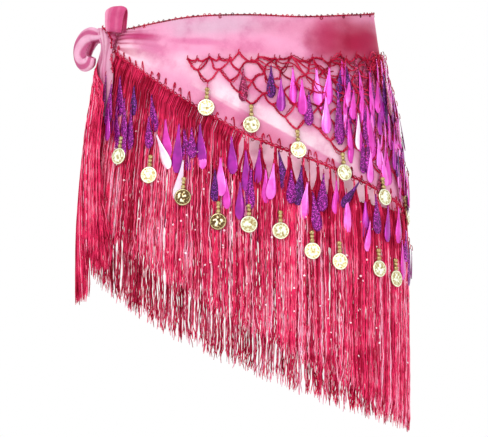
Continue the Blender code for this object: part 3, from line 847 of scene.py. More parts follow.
class Shape:
    """Points, faces, a value for each point and a material number for each face, gathered for one mesh."""

    def __init__(self):
        self.points, self.faces, self.values, self.slots = [], [], [], []
        self.count = 0

    def add(self, points, faces, values, slot=0):
        base = self.count
        self.points.append(as_rows(points) if not isinstance(points, np.ndarray) else points)
        self.faces += [tuple(i + base for i in face) for face in faces]
        self.values.append(np.broadcast_to(np.asarray(values, dtype=float), len(points)))
        self.slots += [slot] * len(faces)
        self.count += len(points)

    def add_runs(self, runs, sides, slot=0):
        for run in runs:
            shades = np.broadcast_to(np.asarray(run.shade, dtype=float), len(run.points))
            self.add(*tube(run, sides), np.tile(shades, sides), slot)

    def build(self, name, materials, value_names, smooth=True):
        obj = add_mesh(name, np.concatenate(self.points), self.faces, materials, smooth)
        obj.data.polygons.foreach_set("material_index", self.slots)
        for value_name in value_names:
            paint(obj, value_name, np.concatenate(self.values))
        return obj


def thread_piece(name, runs, kind, materials, *nodes):
    """One piece of crochet or fringe: tubes along runs, in place of the nodes."""
    slot, sides = THREAD_KINDS[kind]
    shape = Shape()
    shape.add_runs(runs, sides)
    obj = shape.build(name, [materials[kind]], ["shade"])
    finish_piece(obj, *nodes)


def twisted(points, facing, radius, pitch, rng, strands=2):
    """Runs of thin strands that wind round a path, as crochet thread does. They turn once in a pitch."""
    path, across, outward = path_frame(points, facing)
    steps = np.linalg.norm(np.diff(path, axis=0), axis=1)
    lengths = np.concatenate(([0.0], np.cumsum(steps)))
    start = rng.random() * 6
    runs = []
    for strand in range(strands):
        turn = (start + (lengths / pitch + strand / strands) * 2 * math.pi)[:, None]
        offset = 0.55 * radius * (np.cos(turn) * across + np.sin(turn) * outward)
        wound = [Vector(p) for p in path + offset]
        runs.append(Run(wound, facing, 0.72 * radius, rng.uniform(0.25, 0.7)))
    return runs


def along_edge(side, start, end, step, place):
    """Points and outward directions at even steps between two distances from the scarf's point."""
    count = max(2, round((end - start) / step))
    shares = [share_at(side, start + (end - start) * i / count) for i in range(count + 1)]
    points = [place(share) for share in shares]
    facing = [normal_at(side, share, point.z) for share, point in zip(shares, points)]
    return points, facing


def front_dye(x, z):
    """The dye's colour at a place in the front view, in millimetres."""
    colour = dye_colour(CHIFFON)
    for cloud in CLOUDS:
        turn = math.radians(cloud.tilt)
        dx, dz = x - cloud.x, z - cloud.z
        u = (dx * math.cos(turn) + dz * math.sin(turn)) / cloud.half_width
        v = (dz * math.cos(turn) - dx * math.sin(turn)) / cloud.half_height
        ragged = 1 + 0.7 * wander(x * 0.05, z * 0.09, cloud.x)
        amount = cloud.strength * math.exp(-(((u * u + v * v) * ragged) ** 1.5))
        colour = tinted(colour, amount, cloud.colour)
    for stripe in STRIPES:
        run = Vector((stripe.x1 - stripe.x0, stripe.z1 - stripe.z0))
        length = run.length
        place = Vector((x - stripe.x0, z - stripe.z0))
        along = place.dot(run) / length
        above = (run.x * place.y - run.y * place.x) / length
        ends = ease(along / 18 + 0.2) * ease((length - along) / 25)
        body = ease(above / 1.8 + 0.5) * (1 - ease((above - 0.45 * stripe.width) / (0.55 * stripe.width)))
        amount = stripe.strength * ends * body * (0.85 + 0.3 * wander(x * 0.05, z * 0.05, 3.0))
        colour = tinted(colour, clamp(amount), PALE_DYE)
    return colour


def back_dye(share, drop):
    """The dye on the stretches that the photograph doesn't show: the same clouds, in other places, with
    painted light on the low part towards the point.
    """
    colour = dye_colour(CHIFFON)
    cloudy = wander(share * 5, drop * 2.2 + share * 2, 7.7)
    streak = wander(share * 3 + 4, drop * 5 - share * 5, 2.2)
    colour = tinted(colour, clamp(1.9 * cloudy - 0.15), BACK_CRIMSON)
    colour = tinted(colour, clamp(1.8 * streak + 0.2), BACK_BLUSH)
    # Painted light: the low part towards the point is paled, as light on the inside of the back
    painted_light_corner = ease((share - 0.25) / 0.3) * ease((drop - 0.35) / 0.25)
    return tinted(colour, 0.95 * painted_light_corner, BACK_PAINTED_LIGHT)


def wrap_dye(side, share, drop, point):
    """The stretch's dye, with painted shade in the troughs of the pleats at the knot. The two sides meet
    alike.
    """
    colour = front_dye(point.x / MM, point.z / MM)
    if side == BACK:
        shown = ease((share - 0.82) / 0.18)
        colour = shown * colour + (1 - shown) * back_dye(share, drop)
    wave, strength = gather(side, share, drop)
    # Painted shade: the cloth is darkened in the troughs of the pleats
    trough = ease(0.35 - 0.9 * wave) * strength * (1 - ease(share / 0.3))
    return tinted(colour, 0.75 * trough, PLEAT_TROUGH_SHADE)


def bow_dye(seed, pale, deep):
    """Clouds between two colours, for the bow and the hanging ends."""

    def dye(u, v, point):
        cloudy = clamp(0.45 + 1.1 * wander(u * 2.5, v * 2.5, seed))
        return tinted(dye_colour(pale), cloudy, deep)

    return dye


def add_sheet(name, columns, rows, place, dye, materials, thickness=SHEER):
    """A thin closed sheet over a grid. place(u, v) gives a point and dye(u, v, point) its colour."""
    points, colours, faces = [], [], []
    for i in range(columns + 1):
        for j in range(rows + 1):
            point = place(i / columns, j / rows)
            points.append(point)
            colours.append((*dye(i / columns, j / rows, point), 1.0))
    for i in range(columns):
        for j in range(rows):
            a = i * (rows + 1) + j
            faces.append((a, a + 1, a + rows + 2, a + rows + 1))
    obj = add_mesh(name, points, faces, [materials["chiffon"]])
    paint(obj, "dye", colours)
    wall = obj.modifiers.new("wall", "SOLIDIFY")
    wall.thickness = thickness
    wall.offset = 0.0
    return obj


def add_wrap(side, materials):
    first, last = KNOT_SEAM_SHARE, share_at(side, 0.01 * MM)

    def place(u, v):
        share = first + u * (last - first)
        waist, hem, _ = stations(share)
        return cloth_point(side, share, waist + v * (hem - waist), 0.0)

    def dye(u, v, point):
        return wrap_dye(side, first + u * (last - first), v, point)

    name = SIDE_NAMES[side]
    obj = add_sheet(f"chiffon_{name}", 230, 78, place, dye, materials)
    return finish_piece(obj, f"wrap_{name}")


def knot_middle():
    lift = NECK_LIFT + CLOTH / 2 + SEAM_GAP + KNOT_RADII[1]
    return figure_point(KNOT_ANGLE, KNOT_HEIGHT, lift)


KNOT_MIDDLE = knot_middle()


def bow_point(across, up, outward):
    """A place by the knot, in the plane that the bow lies in."""
    turn = math.radians(BOW_AZIMUTH)
    right = Vector((math.cos(turn), -math.sin(turn), 0))
    out = Vector((-math.sin(turn), -math.cos(turn), 0))
    return KNOT_MIDDLE + across * right + outward * out + UP * up


def local_frame(origin, outward, up):
    """A matrix whose -Y axis points outward and whose Z axis is as near as it can be to up."""
    z_axis = (up - up.dot(outward) * outward).normalized()
    y_axis = -outward
    turn = Matrix((y_axis.cross(z_axis), y_axis, z_axis)).transposed().to_4x4()
    return Matrix.Translation(origin) @ turn


def ring_faces(turns, rings):
    """Faces over rings of points, one ring after another, with a cap at each end."""
    faces = []
    for j in range(rings - 1):
        for i in range(turns):
            a, b = j * turns + i, j * turns + (i + 1) % turns
            faces.append((a, a + turns, b + turns, b))
    faces.append(tuple(range(turns)))
    faces.append(tuple(reversed(range((rings - 1) * turns, rings * turns))))
    return faces


def ball(radii, turns, rows, bulge):
    """A closed ball round the origin. bulge(direction) scales each point's distance."""
    points = []
    for j in range(1, rows):
        polar = math.pi * j / rows
        for i in range(turns):
            turn = 2 * math.pi * i / turns
            flat = math.sin(polar)
            direction = Vector((flat * math.cos(turn), flat * math.sin(turn), math.cos(polar)))
            size = bulge(direction)
            points.append(Vector(a * b * size for a, b in zip(direction, radii)))
    return points, ring_faces(turns, rows - 1)


def add_knot(materials):
    """The knot: turns of cloth wound over each other, with pleats along each turn."""

    def bulge(direction):
        slant = direction.z + 0.55 * direction.x
        band = 0.5 + 0.5 * math.cos(slant * 2.6 * math.pi)
        pleat = 0.5 + 0.5 * math.sin((direction.x - 0.5 * direction.z) * 9 + 3 * direction.y)
        return 1.0 - 0.11 * band - 0.035 * pleat

    points, faces = ball(KNOT_RADII, 44, 36, bulge)
    frame = local_frame(KNOT_MIDDLE, figure_normal(KNOT_ANGLE, KNOT_HEIGHT), UP)
    obj = add_mesh("knot_cloth", [frame @ p for p in points], faces, [materials["chiffon"]])
    dye = bow_dye(3.1, *KNOT_DYES)
    paint(obj, "dye", [(*dye(p.x / KNOT_RADII[0], p.z / KNOT_RADII[2], p), 1.0) for p in points])
    return finish_piece(obj, "knot")


def add_upper_loop(materials):
    """The short loop that stands up from the knot, with soft upright pleats."""
    bottom, top, slope = 5.5 * MM, 34.0 * MM, 2.0 * MM
    neck_left, neck_right = 0.5 * MM, 22.0 * MM
    left, right = -3.0 * MM, 27.4 * MM
    half_depth, puff = 3.8 * MM, 3.6 * MM

    def wave(u, v):
        return math.sin((u + 0.1 * wander(u * 3, v * 2, 4.0)) * 6 * math.pi)

    def place(u, v):
        turn = v * math.pi
        rise = max(math.sin(turn), 0.0) ** 0.62
        corner = 5.0 * MM * (2 * u - 1) ** 4 * rise
        low = neck_left + rise * (left - neck_left)
        high = neck_right + rise * (right - neck_right)
        pleat = 1.1 * MM * wave(u, v) * (1 - 0.45 * rise)
        soft = 1.1 * MM * wander(u * 2.5, v * 4, 1.5)
        depth = (half_depth + puff * math.sin(u * math.pi)) * math.cos(turn) + pleat + soft
        foot = bottom - slope * ease((u - 0.35) / 0.65)
        across = low + u * (high - low) + 0.6 * MM * wander(u * 2, v * 6, 8.5)
        return bow_point(across, foot + rise * (top - foot) - corner, 2.5 * MM + depth)

    def dye(u, v, point):
        # Painted shade: deeper towards the right side and in the troughs of the pleats
        amount = clamp(ease(u * 2.2 - 0.1) - 0.2 * wave(u, v))
        return tinted(dye_colour(UPPER_LOOP_PALE), amount, UPPER_LOOP_SHADE)

    obj = add_sheet("loop_upper_cloth", 36, 52, place, dye, materials, BOW_CLOTH)
    return finish_piece(obj, "bow_loop_upper")


def add_side_loop(materials):
    """The loop that curls to the side: a puffed band with pleats along it, and one edge rolled in."""
    stops = (LOOP_ROOT, *SIDE_LOOP)
    path = [LoopRow(i, *stop) for i, stop in enumerate(stops)]
    last = len(stops) - 1
    edge = math.radians(150)
    step = 0.05

    def drift(u, v):
        return wander(u * 4, v * 1.5, 5.5)

    def wave(u, v):
        return math.sin(edge * (2 * v - 1) * 4.2 + 2.2 * drift(u, v) + 0.6)

    def place(u, v):
        at = u * last
        across, up, radius = (blend_rows(path, name, at) for name in LoopStop._fields)
        full = LOOP_FULLNESS * ease(at / 2)
        across += full * (LOOP_EYE.x - across)
        up += full * (LOOP_EYE.y - up)
        radius *= 1 + 1.7 * full
        along = blend_rows(path, "across", at + step) - blend_rows(path, "across", at - step)
        climb = blend_rows(path, "up", at + step) - blend_rows(path, "up", at - step)
        size = math.hypot(along, climb)
        lean = edge * (2 * v - 1)
        pleat = 1.3 * MM * wave(u, v) * (0.65 + 0.35 * math.cos(u * math.pi))
        radius += pleat + 0.9 * MM * drift(u, v)
        reach = radius * math.cos(lean)
        across += reach * climb / size
        up -= reach * along / size
        return bow_point(across, up, 2.0 * MM + 0.8 * radius * math.sin(lean))

    def dye(u, v, point):
        # Painted light and shade: pale along the ridges of the pleats, deeper in their troughs
        stripe = ease(0.55 + wave(u, v))
        return tinted(dye_colour(SIDE_LOOP_TROUGH_SHADE), 0.15 + 0.8 * stripe, SIDE_LOOP_PALE)

    obj = add_sheet("loop_side_cloth", 84, 44, place, dye, materials, BOW_CLOTH)
    return finish_piece(obj, "bow_loop_side")


def tail_point(side, across, height):
    rows = TAILS[side]
    near_angle, near_lift, far_angle, far_lift = (
        blend_rows(rows, name, height) for name in TailRow._fields[1:]
    )
    ripple = 1.2 * MM * math.sin(across * 2 * math.pi)
    angle = near_angle + across * (far_angle - near_angle)
    return figure_point(angle, height, near_lift + across * (far_lift - near_lift) + ripple)


def tail_guides(side, u):
    """The places that the hanging end's cloth runs through, from its tip up to the knot."""
    low, high = TAILS[side][0].height, TAILS[side][-1].height
    guides = [tail_point(side, u, low + t * (high - low)) for t in (0.0, 0.15, 0.32, 0.5, 0.68, 0.86)]
    if side == FRONT:
        for row in OVER_KNOT:
            arch = 1.0 - 0.55 * (2 * u - 1) ** 2
            guides.append(bow_point(row.near + u * (row.far - row.near), row.up, row.outward * arch))
    else:
        guides.append(bow_point((-1 - 8 * u) * MM, -7 * MM, 1 * MM))
        guides.append(bow_point((-1 - 6 * u) * MM, 0, 0))
    return guides


def add_tail(side, materials):
    """A hanging end: pleated cloth, the front one coming over the knot."""
    columns, rows = 40, 84 if side == FRONT else 64
    name = SIDE_NAMES[side]
    guides = [tail_guides(side, i / columns) for i in range(columns + 1)]

    def wave(u, v):
        return math.sin((u * 3.2 + 0.5 * wander(u * 2, v * 3, 6.0 + side)) * 2 * math.pi)

    def place(u, v):
        point = on_path(guides[round(u * columns)], v)
        pleat = wave(u, v) * (0.5 + 0.9 * v) * ease(v * 5)
        return point + figure_normal(14, point.z) * pleat * 0.8 * MM

    cloudy = bow_dye(side + 2.4, *TAIL_DYES[side])

    def dye(u, v, point):
        # Painted shade: deeper colour in the troughs of the pleats
        colour = tinted(cloudy(u, v, point), 0.5 * ease(0.4 - 0.9 * wave(u, v)), TAIL_TROUGH_SHADE)
        greyed = 0.4 * ease((0.5 - u) / 0.3) * ease((0.75 - v) / 0.3)
        return tinted(colour, greyed, TAIL_GREY)

    obj = add_sheet(f"tail_{name}_cloth", columns, rows, place, dye, materials)
    return finish_piece(obj, f"tail_{name}")


def knot_trim():
    """The crocheted edge that comes round with the cloth, over the knot and down the hanging end."""
    rng = random.Random(71)
    guides = [bow_point(-9 * MM, 13.5 * MM, 2 * MM)]
    guides += [bow_point(-1 * MM, 9.5 * MM, 7.6 * MM), bow_point(6.5 * MM, 3.5 * MM, 8.2 * MM)]
    guides += [bow_point(9 * MM, -6 * MM, 6.5 * MM)]
    guides += [tail_point(FRONT, 0.0, height) for height in (-0.036, -0.048, -0.060)]
    points = smooth_path(guides, 10)
    facing = bow_point(0, 0, 1) - bow_point(0, 0, 0)
    runs = twisted(points, facing, 0.85 * MM, 5 * MM, rng)
    for k in range(3, len(points) - 2, 4):
        aside = (points[k + 1] - points[k - 1]).cross(facing).normalized()
        way = -1 if k % 8 == 3 else 1
        peak = points[k] + aside * way * 2.4 * MM + facing * 0.4 * MM
        loop = smooth_path([points[k - 1], peak, points[k + 1]], 4)
        runs.append(Run(loop, facing, 0.42 * MM, rng.uniform(0.2, 0.6)))
    return runs


def picot(side, share, foot, way, size, rng):
    """A small loop of thread that stands up or hangs down from a foot on the cloth."""
    outward = normal_at(side, share, foot.z)
    right = outward.cross(UP).normalized()
    width = size * rng.uniform(0.45, 0.65)
    corners = (
        foot - right * width * 0.35,
        foot - right * width + UP * way * size * 0.55,
        foot + UP * way * size,
        foot + right * width + UP * way * size * 0.55,
        foot + right * width * 0.35,
    )
    points = [p + outward * 0.5 * MM for p in smooth_path(corners, 3)]
    # Picots are darker than the cords: partly darker thread, partly painted shade
    return [Run(points, outward, 0.46 * MM, rng.uniform(0.0, 0.45))]


def add_waist_crochet(side, materials):
    """A twisted cord along the waist edge, with picots on it and small drops below it."""
    rng = random.Random(41 + side)

    def place(share):
        height = stations(share)[0]
        return cloth_point(side, share, height, 0.2 * MM) + UP * (SEAM_GAP + 0.6 * WAIST_CORD)

    end = LENGTHS[side] * EDGING_END
    points, facing = along_edge(side, 0.4 * MM, end, 1.1 * MM, place)
    runs = twisted(points, facing, 0.8 * MM, 5.5 * MM, rng)
    distance = 5 * MM
    while distance < end - 5 * MM:
        share = share_at(side, distance)
        runs += picot(side, share, place(share), 1.0, rng.uniform(1.1, 2.1) * MM, rng)
        if rng.random() < 0.15:
            runs += picot(side, share, place(share) - UP * MM, -1.0, rng.uniform(2.0, 3.2) * MM, rng)
        distance += rng.uniform(6, 9) * MM
    name = SIDE_NAMES[side]
    thread_piece(f"waist_crochet_{name}", runs, "crochet", materials, f"waist_edging_{name}")


def hem_spike(side, share, lean, tall, rng):
    """A stitch that reaches up from the hem into the cloth, with two barbs at its head."""
    facing = normal_at(side, share, hem_height(side, share, 0))
    head = share + lean
    lift = 1.0 * MM
    stem = [
        on_hem(side, share, 1.0 * MM, lift),
        on_hem(side, share + 0.3 * lean, -0.4 * tall, lift),
        on_hem(side, head, -tall, lift),
    ]
    runs = twisted(smooth_path(stem, 4), facing, 0.7 * MM, 4 * MM, rng)
    for way in (-1, 1):
        reach = way * rng.uniform(0.0015, 0.005)
        barb = [
            on_hem(side, head, -tall, lift),
            on_hem(side, head + 0.8 * reach, -rng.uniform(0.65, 0.9) * tall, lift),
            on_hem(side, head + reach, -rng.uniform(0.2, 0.6) * tall, lift),
        ]
        runs.append(Run(smooth_path(barb, 3), facing, 0.45 * MM, rng.uniform(0.2, 0.55)))
    return runs


def add_hem_crochet(side, materials):
    """The hem's edging: a twisted cord, two wavy cords that cross over it, spikes and small loops."""
    rng = random.Random(61 + side)
    below = SEAM_GAP + HEM_CORD
    start, end = HEM_CORD, LENGTHS[side] * EDGING_END

    def straight(share):
        return on_hem(side, share, below, 0.3 * MM)

    points, facing = along_edge(side, start, end, 1.1 * MM, straight)
    runs = twisted(points, facing, 0.95 * MM, 6.5 * MM, rng, 3)
    for way in (-1, 1):

        def wavy(share):
            wave = math.sin(share * LENGTHS[side] / (9.5 * MM) * 2 * math.pi)
            return on_hem(side, share, below - 0.6 * MM + way * 2.0 * MM * wave, (0.9 + 0.4 * way) * MM)

        points, facing = along_edge(side, start, end, 1.3 * MM, wavy)
        runs.append(Run(points, facing, 0.5 * MM, 0.45 + 0.12 * way))
    distance = 6 * MM
    while distance < end - 8 * MM:
        share = share_at(side, distance)
        runs += hem_spike(side, share, rng.uniform(-0.006, 0.006), rng.uniform(4.5, 9.5) * MM, rng)
        foot = on_hem(side, share, below + 1.2 * MM, 0.8 * MM)
        runs += picot(side, share, foot, -1.0, rng.uniform(2.0, 3.4) * MM, rng)
        distance += rng.uniform(9.5, 11.5) * MM
    if side == FRONT:
        runs += knot_trim()
    name = SIDE_NAMES[side]
    thread_piece(f"hem_crochet_{name}", runs, "crochet", materials, f"hem_edging_{name}")


def net_height(share, row):
    return stations(share)[0] - NET_BELOW_WAIST - row * NET_ROW


def lowest_row(column):
    row = (NET_REACH - column) // 2
    return row if (column + row) % 2 == 0 else row - 1


def net_share(side, column):
    return share_at(side, NET_THREAD / 2 + SEAM_GAP + column * NET_HALF_CELL)


def net_place(side, column, row, lift):
    """A place on the net. Its cells are uneven, but not at its lower edge, where the coins hang."""
    uneven = ease(((NET_REACH - column) / 2 + 0.5 - row) / 2)
    column += 0.5 * uneven * wander(column * 0.9, row * 0.8, 21.0 + side) * min(1.0, column)
    row += 0.5 * uneven * wander(column * 0.8, row * 0.9, 27.0 + side)
    share = net_share(side, column)
    return cloth_point(side, share, net_height(share, row), lift)


def net_threads():
    """Each thread of the net once, as a pair of net points."""
    seen = set()
    for column in range(NET_REACH):
        for row in range(column % 2, lowest_row(column) + 1, 2):
            left, right = (max(column - 1, 0), row), (column + 1, row)
            low, high = (column, row + 1), (column, max(row - 1, 0))
            for ends in ((left, low), (low, right), (left, high), (high, right)):
                if ends[0] != ends[1]:
                    seen.add(tuple(sorted(ends)))
    return sorted(seen)


def net_run(side, start, end, sag, lift, radius, rng, strands):
    points = []
    for k in range(NET_STEPS + 1):
        t = k / NET_STEPS
        column = start[0] + t * (end[0] - start[0])
        row = start[1] + t * (end[1] - start[1])
        points.append(net_place(side, column, row + 4 * t * (1 - t) * sag / NET_ROW, lift))
    facing = normal_at(side, net_share(side, start[0]), points[3].z)
    return twisted(smooth_path(points, 2), facing, radius, 4.6 * MM, rng, strands)


def add_net(side, materials):
    """The net's threads: twisted pairs that sag between knots, with loose second threads beside some."""
    rng = random.Random(83 + side)
    lift = CLOTH / 2 + SEAM_GAP + NET_THREAD / 2
    runs = []
    knots = set()
    for start, end in net_threads():
        knots.update((start, end))
        sag = rng.uniform(1.2, 3.4) * MM
        runs += net_run(side, start, end, sag, lift, 1.05 * MM, rng, 2)
        if rng.random() < SECOND_THREADS:
            more = sag + rng.uniform(-5.0, 5.0) * MM
            runs += net_run(side, start, end, more, lift + 0.9 * MM, 0.75 * MM, rng, 1)
    for column, row in sorted(knots):
        if row < 4 and row <= lowest_row(column) - 2 and rng.random() < CROSSING_THREADS:
            end = (column - 3, row + 1) if column > 3 else (column + 3, row + 1)
            runs += net_run(side, (column, row), end, 2 * MM, lift + 1.2 * MM, 0.8 * MM, rng, 2)
        place = net_place(side, column, row, lift + 0.3 * MM)
        outward = normal_at(side, net_share(side, column), place.z)
        right = outward.cross(UP).normalized()
        ends = [place - right * 1.9 * MM, place, place + right * 1.9 * MM]
        runs.append(Run(smooth_path(ends, 2), outward, np.array(KNOT_BULGE) * MM, 0.4))
        if row == 0:
            peak = [place, place + UP * 2.2 * MM + right * 0.8 * MM, place + UP * 4.2 * MM]
            runs.append(Run(smooth_path(peak, 2), outward, 0.55 * MM, 0.4))
    name = SIDE_NAMES[side]
    thread_piece(f"net_crochet_{name}", runs, "crochet", materials, f"net_{name}")


def lock_drift(side, distance, depth):
    """How far the strands near a place drift sideways, alike for neighbours and more with depth."""
    slow = wander(distance * 55, depth * 9, 3.0 * side)
    quick = wander(distance * 170, depth * 22, 5.0 * side)
    return (3.2 * slow + 1.6 * quick) * MM * depth / DRIFT_DEPTH


Strand = namedtuple("Strand", "root clump middle start top end lift")


def strand_run(side, strand, rng):
    """One strand of fringe: crinkled, drawing into its clump as it falls, with a curl at its end.

    A strand of a bunch starts by the bunch's middle. The others start aslant, square to the hem.
    """
    length = strand.top - strand.end
    count = max(8, round(length / STRAND_STEP))
    curl = rng.uniform(-3.2, 3.2) * MM
    stray = rng.uniform(-2.2, 2.2) * MM
    depths = [k / count * length for k in range(count + 1)]
    points = []
    for k, depth in enumerate(depths):
        t = k / count
        jitter = rng.uniform(-0.75, 0.75) * MM * min(1, 5 * t)
        slack = 1.0 + 1.4 * wander(strand.clump * 90, depth * 16, 2.0 * side)
        drawn = CLUMP_DRAW * slack * ease((depth - DRAW_START) / DRAW_REACH)
        here = strand.root + drawn * (strand.clump - strand.root) + jitter
        here += lock_drift(side, 0.6 * strand.clump + 0.4 * strand.root, depth)
        here += curl * ease((depth - length + CURL_LENGTH) / CURL_LENGTH) + stray * ease(t)
        if strand.middle is not None:
            spread = ease((strand.start + depth - BUNCH_NECK) / BUNCH_REACH)
            here = strand.middle + (here - strand.middle) * (0.22 + 0.78 * spread)
        else:
            here -= HEAD_SLANT * (1 - ease(depth / HEAD_REACH))
        ripple = 0.9 * MM * math.sin(strand.root * 650 + 9 * t) * t
        out = strand.lift + rng.uniform(-0.35, 0.35) * MM + ripple
        points.append(figure_point(angle_at(side, share_at(side, here)), strand.top - depth, out))
    thick = [rng.uniform(0.75, 1.25) * (1.4 - 0.4 * ease(d / THICK_HEAD)) for d in depths]
    radius = STRAND_RADIUS * np.array(thick)
    radius[-1] *= 0.5
    facing = normal_at(side, share_at(side, strand.root), strand.top)
    shade = clamp(rng.gauss(0.44, 0.27))
    # Painted shade: the strand is darker near its top, under the hem and the spangles
    shades = [shade * (0.35 + 0.65 * ease((d - HEAD_SHADE_START) / HEAD_SHADE_REACH)) for d in depths]
    return Run(points, facing, radius, shades)


def bunch_middle(start, end, pitch, group):
    step = pitch * CHAIN_LOCKS
    return min(start + (group + 0.5) * step - 0.2 * pitch, end - 1.2 * pitch)


def fringe_strands(side, chained, start, end, pitch, rng):
    """The strands of one part of the hem's fringe. Where it is chained, the front's hang in bunches."""
    runs = []
    distance = start + STRAND_INSET
    clump, clump_end = start, start
    while distance < end - STRAND_INSET:
        if distance > clump_end:
            width = rng.uniform(2.5, 8.5) * MM
            clump, clump_end = clump_end + width / 2, clump_end + width
        middle = bunch_middle(start, end, pitch, int((distance - start) / (pitch * CHAIN_LOCKS)))
        bunched = side == FRONT and chained and share_at(side, middle) > CHAIN_END_SHARE
        for lift in STRAND_LAYERS:
            root = min(max(distance + rng.uniform(-0.9, 0.9) * MM, start), end)
            share = share_at(side, root if bunched else root - HEAD_SLANT)
            top_share = share_at(side, middle) if bunched else share
            below = CHAIN_LENGTH * rng.uniform(0.0, 0.9) ** 0.7 if bunched else 0.0
            top = hem_height(side, top_share, STRIP_TOP - STITCH_HEIGHT) - below
            low = stations(share_at(side, root))[2] + rng.uniform(-9, 9) * MM
            out = lift + rng.uniform(-0.3, 0.3) * MM + 0.6 * neck_lift(share)
            strand = Strand(root, clump, middle if bunched else None, below, top, low, out)
            runs.append(strand_run(side, strand, rng))
        distance += STRAND_PITCH
    return runs


def add_hem_fringe(side, materials):
    """The fine strands below the hem, in the same parts as the solids, with chains away from the knot."""
    rng = random.Random(7 + 3 * side)
    name = SIDE_NAMES[side]
    pitch = (LENGTHS[side] - 2 * FRINGE_MARGIN) / sum(part.locks for part in FRINGE_PARTS)
    start = FRINGE_MARGIN
    for part in FRINGE_PARTS:
        end = start + part.locks * pitch
        runs = fringe_strands(side, part.chained, start, end, pitch, rng)
        if part.chained:
            runs += chain_runs(side, start, end, pitch, rng)
        piece = f"{name}_{part.name}"
        thread_piece(f"strands_{piece}", runs, "fringe", materials, f"fringe_{piece}")
        start = end


def chain_runs(side, start, end, pitch, rng):
    """The crocheted chains below the hem, away from the knot. The front's bunches hang from them."""
    runs = []
    for group in range(math.ceil((end - start) / (pitch * CHAIN_LOCKS) - 0.1)):
        middle = bunch_middle(start, end, pitch, group)
        share = share_at(side, middle)
        if share <= CHAIN_END_SHARE:
            continue
        top = hem_height(side, share, STRIP_TOP - STITCH_HEIGHT)
        bottom = hem_height(side, share, STRIP_TOP) - CHAIN_LENGTH
        sway = rng.uniform(-1.5, 1.5) * MM
        points = []
        for k in range(CHAIN_STEPS + 1):
            t = k / CHAIN_STEPS
            here = share_at(side, middle + sway * math.sin(t * math.pi))
            points.append(figure_point(angle_at(side, here), top + t * (bottom - top), 0.5 * MM))
        runs += twisted(points, normal_at(side, share, top), 1.0 * MM, 5.5 * MM, rng, 3)
    return runs


def loose_strand(points, facing, rng):
    radius = STRAND_RADIUS * np.array([rng.uniform(0.75, 1.25) for _ in points])
    radius[-1] *= 0.5
    return Run(points, facing, radius, clamp(rng.gauss(0.34, 0.24)))


def falling_strand(first, end, start_angle, place, rng):
    """A strand from a first point down to a height. place(t) gives its angle and its lift on the way."""
    points = [first]
    for k in range(1, FALL_STEPS + 1):
        t = k / FALL_STEPS
        angle, lift = place(t)
        points.append(figure_point(angle, first.z + t * (end - first.z), lift))
    return loose_strand(points, figure_normal(start_angle, first.z), rng)


def strands_over_tail(rng):
    """Strands from the front hanging end's far edge that fall in front of its cloth."""
    runs = []
    for _ in range(STRANDS_OVER_TAIL):
        root = -rng.uniform(46, 78) * MM
        first = tail_point(FRONT, 1.0, root) - UP * SEAM_GAP
        start_angle = blend_rows(TAILS[FRONT], "far_angle", root)
        aside = rng.uniform(1.0, 15.0)
        end = rng.uniform(-262, -238) * MM

        def place(t):
            angle = start_angle + aside * ease(7 * t) + 5 * t + rng.uniform(-0.2, 0.2)
            return angle, 14.0 * MM - 7.5 * MM * ease((t - 0.25) / 0.75) + rng.uniform(-0.5, 0.5) * MM

        runs.append(falling_strand(first, end, start_angle, place, rng))
    return runs


def add_tail_fringe(side, materials):
    """Strands along the slanting edge of a hanging end, that swing in to hang by the figure."""
    rng = random.Random(23 + side)
    name = SIDE_NAMES[side]
    facts = TAIL_FRINGES[side]
    widest, tip = TAILS[side][2].height, TAILS[side][0].height
    runs = []
    for number in range(TAIL_STRANDS):
        along = (number + rng.uniform(0.1, 0.9)) / TAIL_STRANDS
        root = widest + along * (tip - widest)
        edge = tail_point(side, 1.0, root)
        first = edge + SEAM_GAP * (edge - tail_point(side, 0.8, root)).normalized()
        start_angle = blend_rows(TAILS[side], "far_angle", root) - side * STRIP_ANGLE
        start_lift = blend_rows(TAILS[side], "far_lift", root)
        end_angle = facts.far_angle + along * (facts.near_angle - facts.far_angle)
        end_angle += rng.uniform(-1.4, 1.4)
        end = facts.end + rng.uniform(-9, 9) * MM
        layer = rng.choice((-1.2, 0.0, 1.2)) * MM

        def place(t):
            swing = wander(along * 7, t * 4, 8.0 * side) * 2.6 * t + rng.uniform(-0.2, 0.2)
            angle = start_angle + ease(t) * (end_angle - start_angle) + swing
            return angle, start_lift + ease(t) * (facts.lift - start_lift) + layer * min(1, 5 * t)

        runs.append(falling_strand(first, end, start_angle, place, rng))
    if side == FRONT:
        runs += strands_over_tail(rng)
    thread_piece(f"strands_tail_{name}", runs, "fringe", materials, f"fringe_tail_{name}")


def coin_relief(r, turn, seed):
    """How far the coin's face stands out: a rim, a ring of dots and a hammered middle."""
    rim = 0.3 * ease((r - 0.84) * 12) * ease((1.0 - r) * 20)
    dots = 0.22 * max(0.0, math.cos(turn * 15)) * math.exp(-(((r - 0.73) / 0.07) ** 2))
    x, y = r * math.cos(turn) * 3.4, r * math.sin(turn) * 3.4
    hammered = max(0.0, 0.18 + wander(x, y, seed)) * ease((0.68 - r) * 9)
    return (rim + dots + 0.75 * hammered) * MM


